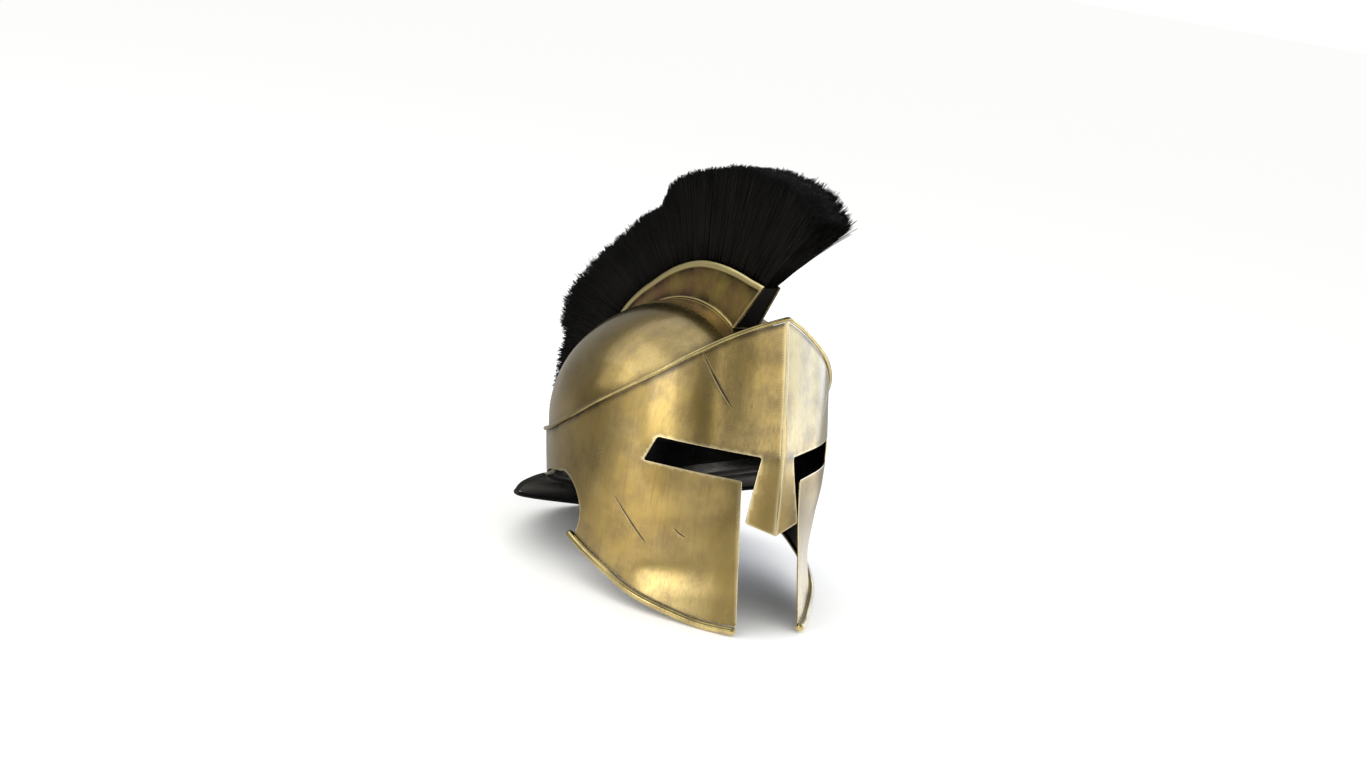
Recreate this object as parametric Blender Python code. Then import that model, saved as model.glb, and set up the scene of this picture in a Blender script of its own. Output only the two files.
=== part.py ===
"""Corinthian helmet with a bristle crest, at rest on its cheek tips and the rim of its neck guard.

Metres, +Z up. The helmet is built upright, as it is worn: the face looks along -Y, the wearer's
left is at +X, and heights are counted from the cheek tips. Places on the shell are given by their
angle round the axis, 0 degrees at the middle of the face and 180 at the nape. At the end the whole
helmet is turned to the tilt at which it rests by itself, with its origin at the bottom centre.
"""
import math

import bmesh
import bpy
import numpy as np
from mathutils import Matrix, Vector
from mathutils.geometry import delaunay_2d_cdt

# Sheet metal
WALL = 0.0012
GAP = 0.0003
LAP_GAP = 0.0005
LAP = 0.007

# Plan of the shell at the brow, and the height from the cheek tips to the brow's peak
SHELL_WIDTH = 0.208
SHELL_FRONT = 0.1215
SHELL_BACK = 0.123
CREASE_REACH = 0.1336
FACE_HEIGHT = 0.230

# Plan down the height: shares of FACE_HEIGHT, of half SHELL_WIDTH, of SHELL_FRONT and of CREASE_REACH.
# The cheeks narrow below the eyes and turn their front edges towards the middle.
PLAN = (
    # height, half_width, front, crease
    (0.000, 0.962, 0.889, 1.100),
    (0.107, 0.942, 0.856, 1.108),
    (0.215, 0.923, 0.831, 1.115),
    (0.346, 0.952, 0.881, 1.070),
    (0.476, 0.986, 0.963, 1.018),
    (0.610, 1.000, 1.000, 1.000),
    (1.000, 1.000, 1.000, 1.000),
)

# Brow bead, by angle in degrees and share of FACE_HEIGHT at the bead's middle
BROW_LINE = (
    (0.0, 1.000),
    (9.0, 0.970),
    (17.0, 0.940),
    (28.5, 0.890),
    (46.5, 0.808),
    (69.5, 0.727),
    (89.5, 0.667),
    (113.0, 0.623),
    (180.0, 0.598),
)
BROW_BEAD = 0.0034
BROW_BEAD_OUT = 0.0006

# Eye slot, nasal and front edge of the cheek: angle in degrees and share of FACE_HEIGHT
EYE_OUTER_TOP = (42.8, 0.618)
EYE_OUTER_BOTTOM = (48.3, 0.5435)
EYE_INNER_TOP = (6.4, 0.562)
CHEEK_INNER_TOP = (12.2, 0.487)
NASAL_CORNER = (11.0, 0.353)
NASAL_TIP_HEIGHT = 0.312
NASAL_LEAN = 0.008
NASAL_FACET_AT_TIP = 13.0
CORNER_ROUND = 0.002
CORNER_CLEAR = 1.6

# Lower edge of the cheek plate from its tip to the notch: angle and share of FACE_HEIGHT
CHEEK_EDGE = (
    (13.0, 0.000),
    (24.7, 0.017),
    (38.5, 0.054),
    (53.3, 0.101),
    (70.0, 0.174),
    (83.0, 0.226),
    (94.0, 0.270),
)
CHEEK_BEAD = 0.0060
CHEEK_BEAD_OUT = 0.0008

# Notch behind the cheek: a round bite in the side wall
NOTCH_ANGLE = 97.5
NOTCH_DEPTH = 0.0248
NOTCH_TOP = 0.112
NOTCH_HEIGHT = 0.0505
NOTCH_STEP = 15.0
NOTCH_FOOT = 0.3

# Neck guard: where its flare leaves the wall, how far it reaches and how far it drops
GUARD_START = 108.0
GUARD_CORNER = 12.0
GUARD_HALF_WIDTH = 0.127
GUARD_BACK = 0.150
GUARD_SEAT_SIDE = 0.1115
GUARD_SEAT_BACK = 0.0912
GUARD_DROP = 0.0135
GUARD_FIRST_SLOPE = 0.25
GUARD_FILLET = 0.004
GUARD_END_REACH = 0.08
NECK_RIM = 0.0036

# Dome: an ellipsoid that nests in the mask, and turns out to meet the brow behind the peak
DOME_BASE = 0.1515
DOME_RISE = 0.0955
DOME_FRONT = 0.1176
VALLEY_SLOPE = 0.25
VALLEY_BELOW_EDGE = 0.002

# Crest box, by angle over the dome in degrees (forward is negative) and share of CREST_HEIGHT
CREST_HEIGHT = 0.046
CREST_LINE = (
    (-48.0, 1.000),
    (-41.0, 0.870),
    (-27.0, 0.745),
    (-12.5, 0.663),
    (5.0, 0.545),
    (24.0, 0.440),
    (48.0, 0.420),
    (66.0, 0.300),
    (80.0, 0.110),
)
CREST_TOP_WIDTH = 0.0152
CREST_FOOT_WIDTH = 0.0220
CREST_BORDER = 0.0032
CREST_PANEL_DEPTH = 0.0006
CREST_END_BORDER = 2.2
CREST_STEP = 5.2

# Bar that holds the bristles
CORE_BELOW_EDGE = 0.002
CORE_STRIP_WIDTH = 0.011
CORE_STRIP_HEIGHT = 0.006
CORE_STRIP_START = 64.0
CORE_END = 90.0

# Plume: root angle and tip angle over the dome in degrees, tip distance as a share of PLUME_REACH
PLUME_REACH = 0.237
PLUME_LINE = (
    (-47.2, -52.0, 0.995),
    (-43.0, -47.1, 1.000),
    (-37.5, -41.1, 0.978),
    (-32.0, -35.4, 0.945),
    (-24.5, -27.5, 0.905),
    (-13.0, -15.4, 0.840),
    (-2.5, -3.6, 0.802),
    (2.0, 1.5, 0.778),
    (7.0, 7.5, 0.710),
    (16.0, 17.4, 0.706),
    (21.0, 22.9, 0.700),
    (31.0, 33.8, 0.715),
    (45.0, 49.8, 0.776),
    (56.0, 61.1, 0.828),
    (60.0, 65.0, 0.825),
    (66.0, 70.0, 0.770),
    (72.0, 77.0, 0.792),
    (77.0, 84.0, 0.785),
    (82.0, 93.0, 0.785),
    (86.0, 102.0, 0.790),
    (89.5, 110.0, 0.770),
)
PLUME_ROOT_WIDTH = 0.010
PLUME_TIP_WIDTH = 0.034
PLUME_LOCK_STEP = 2.8
PLUME_LOCK_DEPTH = 0.0016
PLUME_LOCK_RAGGED = 0.0045
PLUME_LOCK_TURN = 2.3
PLUME_SECTION = (
    # share of the way from root to tip, share of the widening
    (0.00, 0.0),
    (0.30, 0.2),
    (0.65, 0.6),
    (0.96, 1.0),
)

# Fineness of the faceted solids
COLUMN_STEP = 5.0
ROW_STEP = 0.014
FACE_STRETCH = 1.6
BEAD_SIDES = 6

HALF_WIDTH = SHELL_WIDTH / 2
DOME_CENTRE = Vector((0.0, 0.0, DOME_BASE))
UNROLL = math.radians(1.0) * HALF_WIDTH


def blend_rows(rows, at):
    """The other columns of a table at a value of its first, on a smooth curve without overshoot."""
    if at <= rows[0][0]:
        return rows[0][1:]
    if at >= rows[-1][0]:
        return rows[-1][1:]
    last = len(rows) - 1
    i = max(k for k in range(last) if rows[k][0] <= at)
    width = rows[i + 1][0] - rows[i][0]
    t = (at - rows[i][0]) / width

    def rise(k, column):
        return (rows[k + 1][column] - rows[k][column]) / (rows[k + 1][0] - rows[k][0])

    def slope(k, column):
        if k == 0:
            return rise(0, column)
        if k == last:
            return rise(last - 1, column)
        before, after = rise(k - 1, column), rise(k, column)
        return 0.0 if before * after <= 0 else 2 * before * after / (before + after)

    values = []
    for column in range(1, len(rows[0])):
        a, b = rows[i][column], rows[i + 1][column]
        ta, tb = slope(i, column) * width, slope(i + 1, column) * width
        smooth = (2 * t ** 3 - 3 * t ** 2 + 1) * a + (t ** 3 - 2 * t ** 2 + t) * ta
        values.append(smooth + (3 * t ** 2 - 2 * t ** 3) * b + (t ** 3 - t ** 2) * tb)
    return tuple(values)


def oval_radius(angle, half_width, front, back):
    """Distance from the axis to an oval whose front and back halves differ."""
    a = math.radians(angle)
    length = front if math.cos(a) > 0 else back
    return 1 / math.hypot(math.sin(a) / half_width, math.cos(a) / length)


def plan_sizes(height, inset):
    """Half width, front, back and crease of the shell's plan at a height, an inset inside its face.
    Last comes how far the two flats beside the crease slope back, in degrees."""
    half_width, front, crease = blend_rows(PLAN, height / FACE_HEIGHT)
    half_width = half_width * HALF_WIDTH
    front = front * SHELL_FRONT
    crease = crease * CREASE_REACH
    touch = front * front / crease
    slope = math.atan2(crease - touch, half_width * math.sqrt(1 - (front / crease) ** 2))
    return half_width - inset, front - inset, SHELL_BACK - inset, crease - inset / math.cos(slope), slope


def mask_radius(angle, height, inset=0.0):
    """Distance from the axis to the shell: an oval, with a flat on each side of the crease."""
    half_width, front, back, crease, slope = plan_sizes(height, inset)
    a = math.radians(abs(angle))
    root = EYE_INNER_TOP[1] * FACE_HEIGHT
    if height < root and abs(angle) < (NASAL_CORNER[0] + CHEEK_INNER_TOP[0]) / 2:
        root_crease, root_slope = plan_sizes(root, inset)[3:]
        down = (root - height) / (root - NASAL_TIP_HEIGHT * FACE_HEIGHT)
        facet = root_slope + (math.radians(NASAL_FACET_AT_TIP) - root_slope) * down
        return (root_crease - NASAL_LEAN * down) / (math.cos(a) + math.sin(a) * math.tan(facet))
    touch_y = front * front / crease
    touch_x = half_width * math.sqrt(1 - (front / crease) ** 2)
    if a < math.atan2(touch_x, touch_y):
        flat = math.atan2(crease - touch_y, touch_x)
        return crease * math.cos(flat) / math.cos(a - flat)
    return oval_radius(angle, half_width, front, back)


def on_shell(angle, height, inset=0.0):
    """Point of the shell, on the wearer's left for angles above 0."""
    r = mask_radius(angle, height, inset)
    a = math.radians(angle)
    return Vector((r * math.sin(a), -r * math.cos(a), height))


def bead_run(slope_line, angle, step=2.0):
    """Length of an edge for each unit of its unrolled run, from a line that gives heights by angle."""
    rise = slope_line(angle + step) - slope_line(angle - step)
    return math.hypot(1.0, rise / (2 * step * UNROLL))


def brow_height(angle):
    return blend_rows(BROW_LINE, min(abs(angle), 180.0))[0] * FACE_HEIGHT


def mask_top(angle):
    """Upper edge of the sheet, under the brow bead."""
    return brow_height(angle) - (BROW_BEAD / 2 + GAP) * bead_run(brow_height, max(abs(angle), 2.0))


def cheek_height(angle):
    return blend_rows(CHEEK_EDGE, angle)[0] * FACE_HEIGHT


def cheek_sheet_height(angle):
    """Lower edge of the sheet, above the cheek bead."""
    return cheek_height(angle) + (CHEEK_BEAD + GAP) * bead_run(cheek_height, angle)


def guard_seat(angle):
    """Height at which the flare of the neck guard leaves the wall."""
    level_end = GUARD_START + GUARD_CORNER / 2
    share = max(0.0, (abs(angle) - level_end) / (180.0 - level_end))
    return GUARD_SEAT_SIDE + (GUARD_SEAT_BACK - GUARD_SEAT_SIDE) * share


def stations(start, end, step):
    count = max(1, round(abs(end - start) / step))
    return [start + (end - start) * i / count for i in range(count + 1)]


def whole_steps(start, end):
    """Multiples of the column step strictly between two angles."""
    first = math.floor(start / COLUMN_STEP) + 1
    last = math.ceil(end / COLUMN_STEP) - 1
    return [k * COLUMN_STEP for k in range(first, last + 1)]


def rounded(before, corner, after, radius):
    """Three points of an arc in place of a corner of the unrolled outline."""
    c = Vector((corner[0] * UNROLL, corner[1]))
    a = (Vector((before[0] * UNROLL, before[1])) - c).normalized() * radius + c
    b = (Vector((after[0] * UNROLL, after[1])) - c).normalized() * radius + c
    middle = c * 0.5 + a * 0.25 + b * 0.25
    return [(p.x / UNROLL, p.y) for p in (a, middle, b)]


def mask_outline():
    """Half of the face mask, unrolled: angle in degrees and height, from the brow's peak round."""
    def place(pair):
        return pair[0], pair[1] * FACE_HEIGHT

    outer_top, outer_bottom = place(EYE_OUTER_TOP), place(EYE_OUTER_BOTTOM)
    inner_top, cheek_top = place(EYE_INNER_TOP), place(CHEEK_INNER_TOP)
    corner, tip = place(NASAL_CORNER), (0.0, NASAL_TIP_HEIGHT * FACE_HEIGHT)
    tip_angle = CHEEK_EDGE[0][0]
    cheek_tip = (tip_angle, cheek_sheet_height(tip_angle))

    points = [(a, mask_top(a)) for a in stations(0.0, 180.0, COLUMN_STEP)]
    points += [(a, guard_seat(a)) for a in stations(180.0, NOTCH_ANGLE, COLUMN_STEP)]

    middle = NOTCH_TOP - NOTCH_HEIGHT / 2
    for turn in stations(0.0, 180.0, NOTCH_STEP)[1:]:
        a = NOTCH_ANGLE - NOTCH_DEPTH / UNROLL * math.sin(math.radians(turn))
        h = middle + NOTCH_HEIGHT / 2 * math.cos(math.radians(turn))
        if h < cheek_sheet_height(a) + WALL:
            break
        points.append((a, h))
    edge = [a for a in whole_steps(tip_angle, points[-1][0] - 1.0)][::-1]
    corner_angle = points[-1][0] + NOTCH_FOOT
    points.append((corner_angle, cheek_sheet_height(corner_angle)))
    points += [(a, cheek_sheet_height(a)) for a in edge]

    points += rounded((edge[-1], cheek_sheet_height(edge[-1])), cheek_tip, cheek_top, CORNER_ROUND)
    for h in stations(cheek_tip[1], cheek_top[1], ROW_STEP)[1:-1]:
        share = (h - cheek_tip[1]) / (cheek_top[1] - cheek_tip[1])
        points.append((cheek_tip[0] + (cheek_top[0] - cheek_tip[0]) * share, h))
    points += rounded(cheek_tip, cheek_top, outer_bottom, CORNER_ROUND)

    def along(start, end):
        for a in sorted(whole_steps(*sorted((start[0], end[0]))), reverse=start[0] > end[0]):
            if min(abs(a - start[0]), abs(a - end[0])) > CORNER_CLEAR:
                yield a, start[1] + (end[1] - start[1]) * (a - start[0]) / (end[0] - start[0])

    points += along(cheek_top, outer_bottom)
    points += rounded(cheek_top, outer_bottom, outer_top, CORNER_ROUND)
    points += rounded(outer_bottom, outer_top, inner_top, CORNER_ROUND)
    points += along(outer_top, inner_top)
    points += rounded(outer_top, inner_top, corner, CORNER_ROUND)
    for h in stations(inner_top[1], corner[1], ROW_STEP)[1:-1]:
        share = (h - inner_top[1]) / (corner[1] - inner_top[1])
        points.append((inner_top[0] + (corner[0] - inner_top[0]) * share, h))
    points += rounded(inner_top, corner, tip, CORNER_ROUND)
    points += along(corner, tip)
    points += [(0.0, h) for h in stations(tip[1], mask_top(0.0), ROW_STEP)[:-1]]
    return points


def inside(point, outline):
    """Even-odd test of a point against a closed outline."""
    x, y = point
    within = False
    for (x1, y1), (x2, y2) in zip(outline, outline[1:] + outline[:1]):
        if (y1 > y) != (y2 > y) and x < x1 + (x2 - x1) * (y - y1) / (y2 - y1):
            within = not within
    return within


def distance_to(point, outline):
    """Distance from a point to the nearest side of a closed outline."""
    p = Vector(point)
    nearest = math.inf
    for a, b in zip(outline, outline[1:] + outline[:1]):
        a, b = Vector(a), Vector(b)
        run = b - a
        share = min(1.0, max(0.0, (p - a).dot(run) / run.length_squared))
        nearest = min(nearest, (p - a - run * share).length)
    return nearest


def new_piece(name, mesh, finish):
    """Put a closed mesh in the scene as a smooth-shaded piece with its own material."""
    bmesh.ops.remove_doubles(mesh, verts=mesh.verts, dist=1e-6)
    bmesh.ops.recalc_face_normals(mesh, faces=mesh.faces)
    data = bpy.data.meshes.new(name)
    mesh.to_mesh(data)
    mesh.free()
    data.shade_smooth()
    data.set_sharp_from_angle(angle=math.radians(35))
    piece = bpy.data.objects.new(name, data)
    bpy.context.scene.collection.objects.link(piece)
    colour, metallic, roughness = finish
    material = bpy.data.materials.new(name)
    material.use_nodes = True
    shader = material.node_tree.nodes["Principled BSDF"]
    shader.inputs["Base Color"].default_value = (*colour, 1.0)
    shader.inputs["Metallic"].default_value = metallic
    shader.inputs["Roughness"].default_value = roughness
    data.materials.append(material)
    return piece


BRASS = ((0.46, 0.32, 0.11), 1.0, 0.32)
BRIGHT_BRASS = ((0.56, 0.42, 0.17), 1.0, 0.25)
DARK_BRASS = ((0.26, 0.18, 0.07), 1.0, 0.42)
BLACK_TRIM = ((0.012, 0.012, 0.012), 0.0, 0.6)
BLACK_BAR = ((0.02, 0.017, 0.012), 0.0, 0.55)
BLACK_BRISTLE = ((0.012, 0.012, 0.013), 0.0, 0.6)


def sheet_from_grid(mesh, outer, inner, closed):
    """Close two grids of points into a sheet. Each row is a list; closed joins last column to first."""
    rings = []
    for grid in (outer, inner):
        rings.append([[mesh.verts.new(p) for p in column] for column in grid])
    count = len(outer)
    rows = len(outer[0])
    spans = [(i, (i + 1) % count) for i in range(count if closed else count - 1)]
    for side in rings:
        for i, j in spans:
            for k in range(rows - 1):
                mesh.faces.new((side[i][k], side[j][k], side[j][k + 1], side[i][k + 1]))
    for i, j in spans:
        for k in (0, rows - 1):
            mesh.faces.new((rings[0][i][k], rings[0][j][k], rings[1][j][k], rings[1][i][k]))
    if not closed:
        for i in (0, count - 1):
            for k in range(rows - 1):
                mesh.faces.new((rings[0][i][k], rings[0][i][k + 1], rings[1][i][k + 1], rings[1][i][k]))


def loft(mesh, sections, closed):
    """Skin closed sections of equal point count into one body, capped at both ends unless closed."""
    rings = [[mesh.verts.new(p) for p in section] for section in sections]
    count = len(rings)
    sides = len(rings[0])
    for i in range(count if closed else count - 1):
        a, b = rings[i], rings[(i + 1) % count]
        for k in range(sides):
            m = (k + 1) % sides
            mesh.faces.new((a[k], a[m], b[m], b[k]))
    if not closed:
        mesh.faces.new(rings[0])
        mesh.faces.new(rings[-1])


def rod_along(mesh, centres, ups, diameter, closed):
    """Sweep a round rod along a line of points, each with a direction to keep upright."""
    sections = []
    count = len(centres)
    for i, centre in enumerate(centres):
        before = centres[i - 1] if closed or i > 0 else centre
        after = centres[(i + 1) % count] if closed or i < count - 1 else centre
        forward = (after - before).normalized()
        up = (ups[i] - forward * ups[i].dot(forward)).normalized()
        side = forward.cross(up)
        turns = [math.tau * (k + 0.5) / BEAD_SIDES for k in range(BEAD_SIDES)]
        sections.append([centre + (up * math.cos(t) + side * math.sin(t)) * diameter / 2 for t in turns])
    loft(mesh, sections, closed)


def edge_centres(edge, outs, away, diameter, proud, closed):
    """Centre line of a bead that follows a sheet's edge, a gap off it and proud of its outer face."""
    centres = []
    count = len(edge)
    for i, point in enumerate(edge):
        before = edge[i - 1] if closed or i > 0 else point
        after = edge[(i + 1) % count] if closed or i < count - 1 else point
        across = (after - before).normalized().cross(outs[i]).normalized()
        if across.dot(away[i]) < 0:
            across = -across
        centres.append(point + across * (diameter / 2 + GAP) + outs[i] * proud)
    return centres


def shell_normal(angle, height):
    """Outward direction of the shell at a place, from its neighbours."""
    across = on_shell(angle + 1.0, height) - on_shell(angle - 1.0, height)
    if abs(angle) < 1.0:
        across = Vector((1.0, 0.0, 0.0))
    up = on_shell(angle, height + 0.002) - on_shell(angle, height - 0.002)
    return across.cross(up).normalized()


def face_mask():
    outline = mask_outline()
    flat = [(a * UNROLL * FACE_STRETCH, h) for a, h in outline]
    inner_points = []
    for column, a in enumerate(whole_steps(0.0, 180.0)):
        for row in range(round(FACE_HEIGHT / ROW_STEP) + 1):
            h = (row + 0.5 * (column % 2)) * ROW_STEP
            p = (a * UNROLL * FACE_STRETCH, h)
            if inside(p, flat) and distance_to(p, flat) > 0.4 * ROW_STEP:
                inner_points.append(p)
    points = [Vector(p) for p in flat + inner_points]
    faces = delaunay_2d_cdt(points, [], [list(range(len(flat)))], 1, 1e-7)
    vertices, triangles = faces[0], faces[2]

    mesh = bmesh.new()
    for side in (1, -1):
        layers = []
        for inset in (0.0, WALL):
            layer = []
            for v in vertices:
                angle = min(180.0, max(0.0, v.x / (UNROLL * FACE_STRETCH)))
                p = on_shell(angle, v.y, inset)
                if angle < 1e-4 or angle > 180.0 - 1e-4:
                    p.x = 0.0
                layer.append(mesh.verts.new((p.x * side, p.y, p.z)))
            layers.append(layer)
        borders = {}
        for triangle in triangles:
            for layer in layers:
                mesh.faces.new([layer[k] for k in triangle])
            for a, b in zip(triangle, triangle[1:] + triangle[:1]):
                borders[frozenset((a, b))] = borders.get(frozenset((a, b)), 0) + 1
        for pair, uses in borders.items():
            a, b = tuple(pair)
            on_seam = all(abs(layers[0][k].co.x) < 1e-9 for k in (a, b))
            if uses == 1 and not on_seam:
                mesh.faces.new((layers[0][a], layers[0][b], layers[1][b], layers[1][a]))
    loose = [v for v in mesh.verts if not v.link_faces]
    bmesh.ops.delete(mesh, geom=loose, context="VERTS")
    return new_piece("face_mask", mesh, BRASS)


def brow_bead():
    angles = stations(-180.0, 180.0, COLUMN_STEP)[:-1]
    edge = [on_shell(a, mask_top(a)) for a in angles]
    outs = [shell_normal(a, mask_top(a)) for a in angles]
    away = [Vector((0.0, 0.0, 1.0))] * len(angles)
    mesh = bmesh.new()
    rod_along(mesh, edge_centres(edge, outs, away, BROW_BEAD, BROW_BEAD_OUT, True), outs, BROW_BEAD, True)
    return new_piece("brow_bead", mesh, BRIGHT_BRASS)


def cheek_bead(name, side):
    angles = stations(CHEEK_EDGE[0][0], CHEEK_EDGE[-1][0] - 1.0, COLUMN_STEP)
    edge = [on_shell(side * a, cheek_sheet_height(a)) for a in angles]
    outs = [shell_normal(side * a, cheek_sheet_height(a)) for a in angles]
    away = [Vector((0.0, 0.0, -1.0))] * len(angles)
    mesh = bmesh.new()
    rod_along(mesh, edge_centres(edge, outs, away, CHEEK_BEAD, CHEEK_BEAD_OUT, False), outs, CHEEK_BEAD, False)
    return new_piece(name, mesh, BRIGHT_BRASS)


def guard_profile(angle, inset):
    """Section of the neck guard, from the top of its lap inside the wall to its rim: out and up."""
    seat = guard_seat(angle)
    start = mask_radius(angle, seat, WALL + LAP_GAP) - inset
    lap_foot = seat + WALL
    points = [(start, lap_foot + LAP), (start, lap_foot)]
    fillet = GUARD_FILLET + inset
    bend_end = math.radians(90.0 - math.degrees(math.atan(GUARD_FIRST_SLOPE)))
    for turn in (0.33, 0.66, 1.0):
        t = bend_end * turn
        points.append((start + inset + GUARD_FILLET - fillet * math.cos(t), lap_foot - fillet * math.sin(t)))
    out, up = points[-1]
    full = oval_radius(angle, GUARD_HALF_WIDTH, 1.0, GUARD_BACK) - NECK_RIM / 2 - out
    corner = min(1.0, (abs(angle) - GUARD_START) / GUARD_CORNER)
    reach = max(GUARD_END_REACH, math.sqrt(1 - (1 - corner) ** 2))
    for share in (0.2, 0.4, 0.6, 0.78, 0.9, 1.0):
        t = share * reach * 0.985
        drop = GUARD_FIRST_SLOPE * t + (1 - GUARD_FIRST_SLOPE) * (1 - math.sqrt(1 - t * t))
        points.append((out + full * t, up - GUARD_DROP * drop))
    return points


def guard_columns():
    """Angles of the neck guard's sections, closer together round its front corners."""
    near = [GUARD_START + GUARD_CORNER * s for s in (0.03, 0.12, 0.3, 0.6, 1.0)]
    half = near + [a for a in whole_steps(near[-1] + 1.5, 180.0)]
    return [-a for a in half] + [180.0] + half[::-1]


def turned(angle, out, up):
    a = math.radians(angle)
    return Vector((out * math.sin(a), -out * math.cos(a), up))


def guard_sheet(angle):
    """Outer and inner points of the guard's section; the inner ones lie a wall inside."""
    outer = guard_profile(angle, 0.0)
    inner = []
    for i, (out, up) in enumerate(outer):
        before = outer[max(0, i - 1)]
        after = outer[min(len(outer) - 1, i + 1)]
        run = Vector((after[0] - before[0], after[1] - before[1])).normalized()
        inner.append((out + run.y * WALL, up - run.x * WALL))
    return [turned(angle, *p) for p in outer], [turned(angle, *p) for p in inner]


def neck_guard():
    sheets = [guard_sheet(a) for a in guard_columns()]
    mesh = bmesh.new()
    sheet_from_grid(mesh, [s[0] for s in sheets], [s[1] for s in sheets], False)
    return new_piece("neck_guard", mesh, BRASS)


def neck_rim():
    sheets = [guard_sheet(a) for a in guard_columns()]
    edge = [(outer[-1] + inner[-1]) / 2 for outer, inner in sheets]
    outs = [(outer[-1] - inner[-1]).normalized() for outer, inner in sheets]
    away = [(outer[-1] - outer[-2]).normalized() + Vector((0.0, 0.0, -0.01)) for outer, inner in sheets]
    mesh = bmesh.new()
    rod_along(mesh, edge_centres(edge, outs, away, NECK_RIM, 0.0, False), outs, NECK_RIM, False)
    return new_piece("neck_rim", mesh, BLACK_TRIM)


def dome_profile(angle):
    """Section of the dome from just under its crown to its lower edge in the mask: out and up."""
    half_width = HALF_WIDTH - WALL - LAP_GAP
    back = SHELL_BACK - WALL - LAP_GAP
    base = oval_radius(angle, half_width, DOME_FRONT, back)

    def over(height):
        share = min(1.0, max(0.0, (height - DOME_BASE) / DOME_RISE))
        return base * math.sqrt(1 - share * share)

    edge_top = mask_top(angle) - VALLEY_BELOW_EDGE
    lip = mask_radius(angle, edge_top, WALL + LAP_GAP)
    ledge = max(0.0, lip - over(edge_top))
    valley = edge_top - VALLEY_SLOPE * ledge
    last = math.acos(min(1.0, max(0.0, (valley - DOME_BASE) / DOME_RISE)))
    points = []
    for i in range(1, 10):
        t = last * i / 9
        points.append((base * math.sin(t), DOME_BASE + DOME_RISE * math.cos(t)))
    foot = points[-1]
    for share, lift in ((0.12, 0.05), (0.9, 0.86)):
        points.append((foot[0] + (lip - foot[0]) * share, foot[1] + (edge_top - foot[1]) * lift - 0.0002))
    low = edge_top - LAP
    points.append((lip, min(edge_top, points[-1][1]) - 0.0015))
    points.append((mask_radius(angle, low, WALL + LAP_GAP), low))
    return points


def dome_half(name, side):
    """Half of the dome. Its twin meets it a gap away on the middle plane, under the crest."""
    mesh = bmesh.new()

    def put(point):
        return mesh.verts.new((side * max(point[0], GAP / 2), point[1], point[2]))

    outer, inner = [], []
    for a in stations(0.0, 180.0, COLUMN_STEP):
        profile = dome_profile(a)
        section = []
        for i, (out, up) in enumerate(profile):
            before = profile[max(0, i - 1)]
            after = profile[min(len(profile) - 1, i + 1)]
            run = Vector((after[0] - before[0], after[1] - before[1])).normalized()
            section.append((out + run.y * WALL, up - run.x * WALL))
        outer.append([turned(a, *p) for p in profile])
        inner.append([turned(a, *p) for p in section])
    layers = []
    for grid, crown in ((outer, DOME_RISE), (inner, DOME_RISE - WALL)):
        pole = put((0.0, 0.0, DOME_BASE + crown))
        columns = [[pole] + [put(p) for p in column] for column in grid]
        for near, far in zip(columns, columns[1:]):
            mesh.faces.new((pole, near[1], far[1]))
            for k in range(1, len(near) - 1):
                mesh.faces.new((near[k], near[k + 1], far[k + 1], far[k]))
        layers.append(columns)
    for a, b, c, d in zip(layers[0], layers[0][1:], layers[1][1:], layers[1]):
        mesh.faces.new((a[-1], b[-1], c[-1], d[-1]))
    for end in (0, -1):
        a, b = layers[0][end], layers[1][end]
        for k in range(len(a) - 1):
            mesh.faces.new((a[k], a[k + 1], b[k + 1], b[k]))
    return new_piece(name, mesh, BRASS)


def over_dome(angle, across, lift):
    """Point over the dome's middle line, a lift above the dome, some way across it."""
    a = math.radians(angle)
    length = DOME_FRONT if angle < 0 else SHELL_BACK - WALL - LAP_GAP
    shrink = math.sqrt(1 - (across / (HALF_WIDTH - WALL - LAP_GAP)) ** 2)
    r = shrink / math.hypot(math.sin(a) / length, math.cos(a) / DOME_RISE) + lift
    return DOME_CENTRE + Vector((across, r * math.sin(a), r * math.cos(a)))


def crest_height(angle):
    return blend_rows(CREST_LINE, angle)[0] * CREST_HEIGHT


def crest_box():
    """Trough with sloping sides. Its outer faces are sunk inside a raised border."""
    first, last = CREST_LINE[0][0], CREST_LINE[-1][0]
    inner_first, inner_last = first + CREST_END_BORDER, last - 2 * CREST_END_BORDER
    angles = [first, inner_first] + stations(inner_first + 0.3, inner_last - 0.3, CREST_STEP) + [inner_last, last]
    top, foot = CREST_TOP_WIDTH / 2, CREST_FOOT_WIDTH / 2
    sections = []
    for a in angles:
        sunk = CREST_PANEL_DEPTH if inner_first < a < inner_last else 0.0
        height = crest_height(a)
        border = min(CREST_BORDER, height * 0.3)
        marks = (
            # lift, depth under the border's face
            (GAP, 0.0),
            (GAP + border * 0.8, 0.0),
            (GAP + border, sunk),
            (height - border * 1.1, sunk),
            (height - border, 0.0),
            (height, 0.0),
        )
        outer = [(foot + (top - foot) * lift / height - depth, lift) for lift, depth in marks]
        floor = GAP + WALL
        inner = [(top - WALL, height), (foot + (top - foot) * floor / height - WALL, floor)]
        right = outer + inner
        section = [over_dome(a, x, lift) for x, lift in right]
        section += [over_dome(a, 0.0, floor)]
        section += [over_dome(a, -x, lift) for x, lift in reversed(right)]
        section += [over_dome(a, 0.0, GAP)]
        sections.append(section)
    mesh = bmesh.new()
    loft(mesh, sections, False)
    return new_piece("crest_box", mesh, DARK_BRASS)


def core_top(angle):
    """Lift of the bar's top over the dome: below the trough's edge, then a low strip down the back."""
    inside_box = crest_height(angle) - CORE_BELOW_EDGE
    return max(inside_box, CORE_STRIP_HEIGHT)


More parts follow.
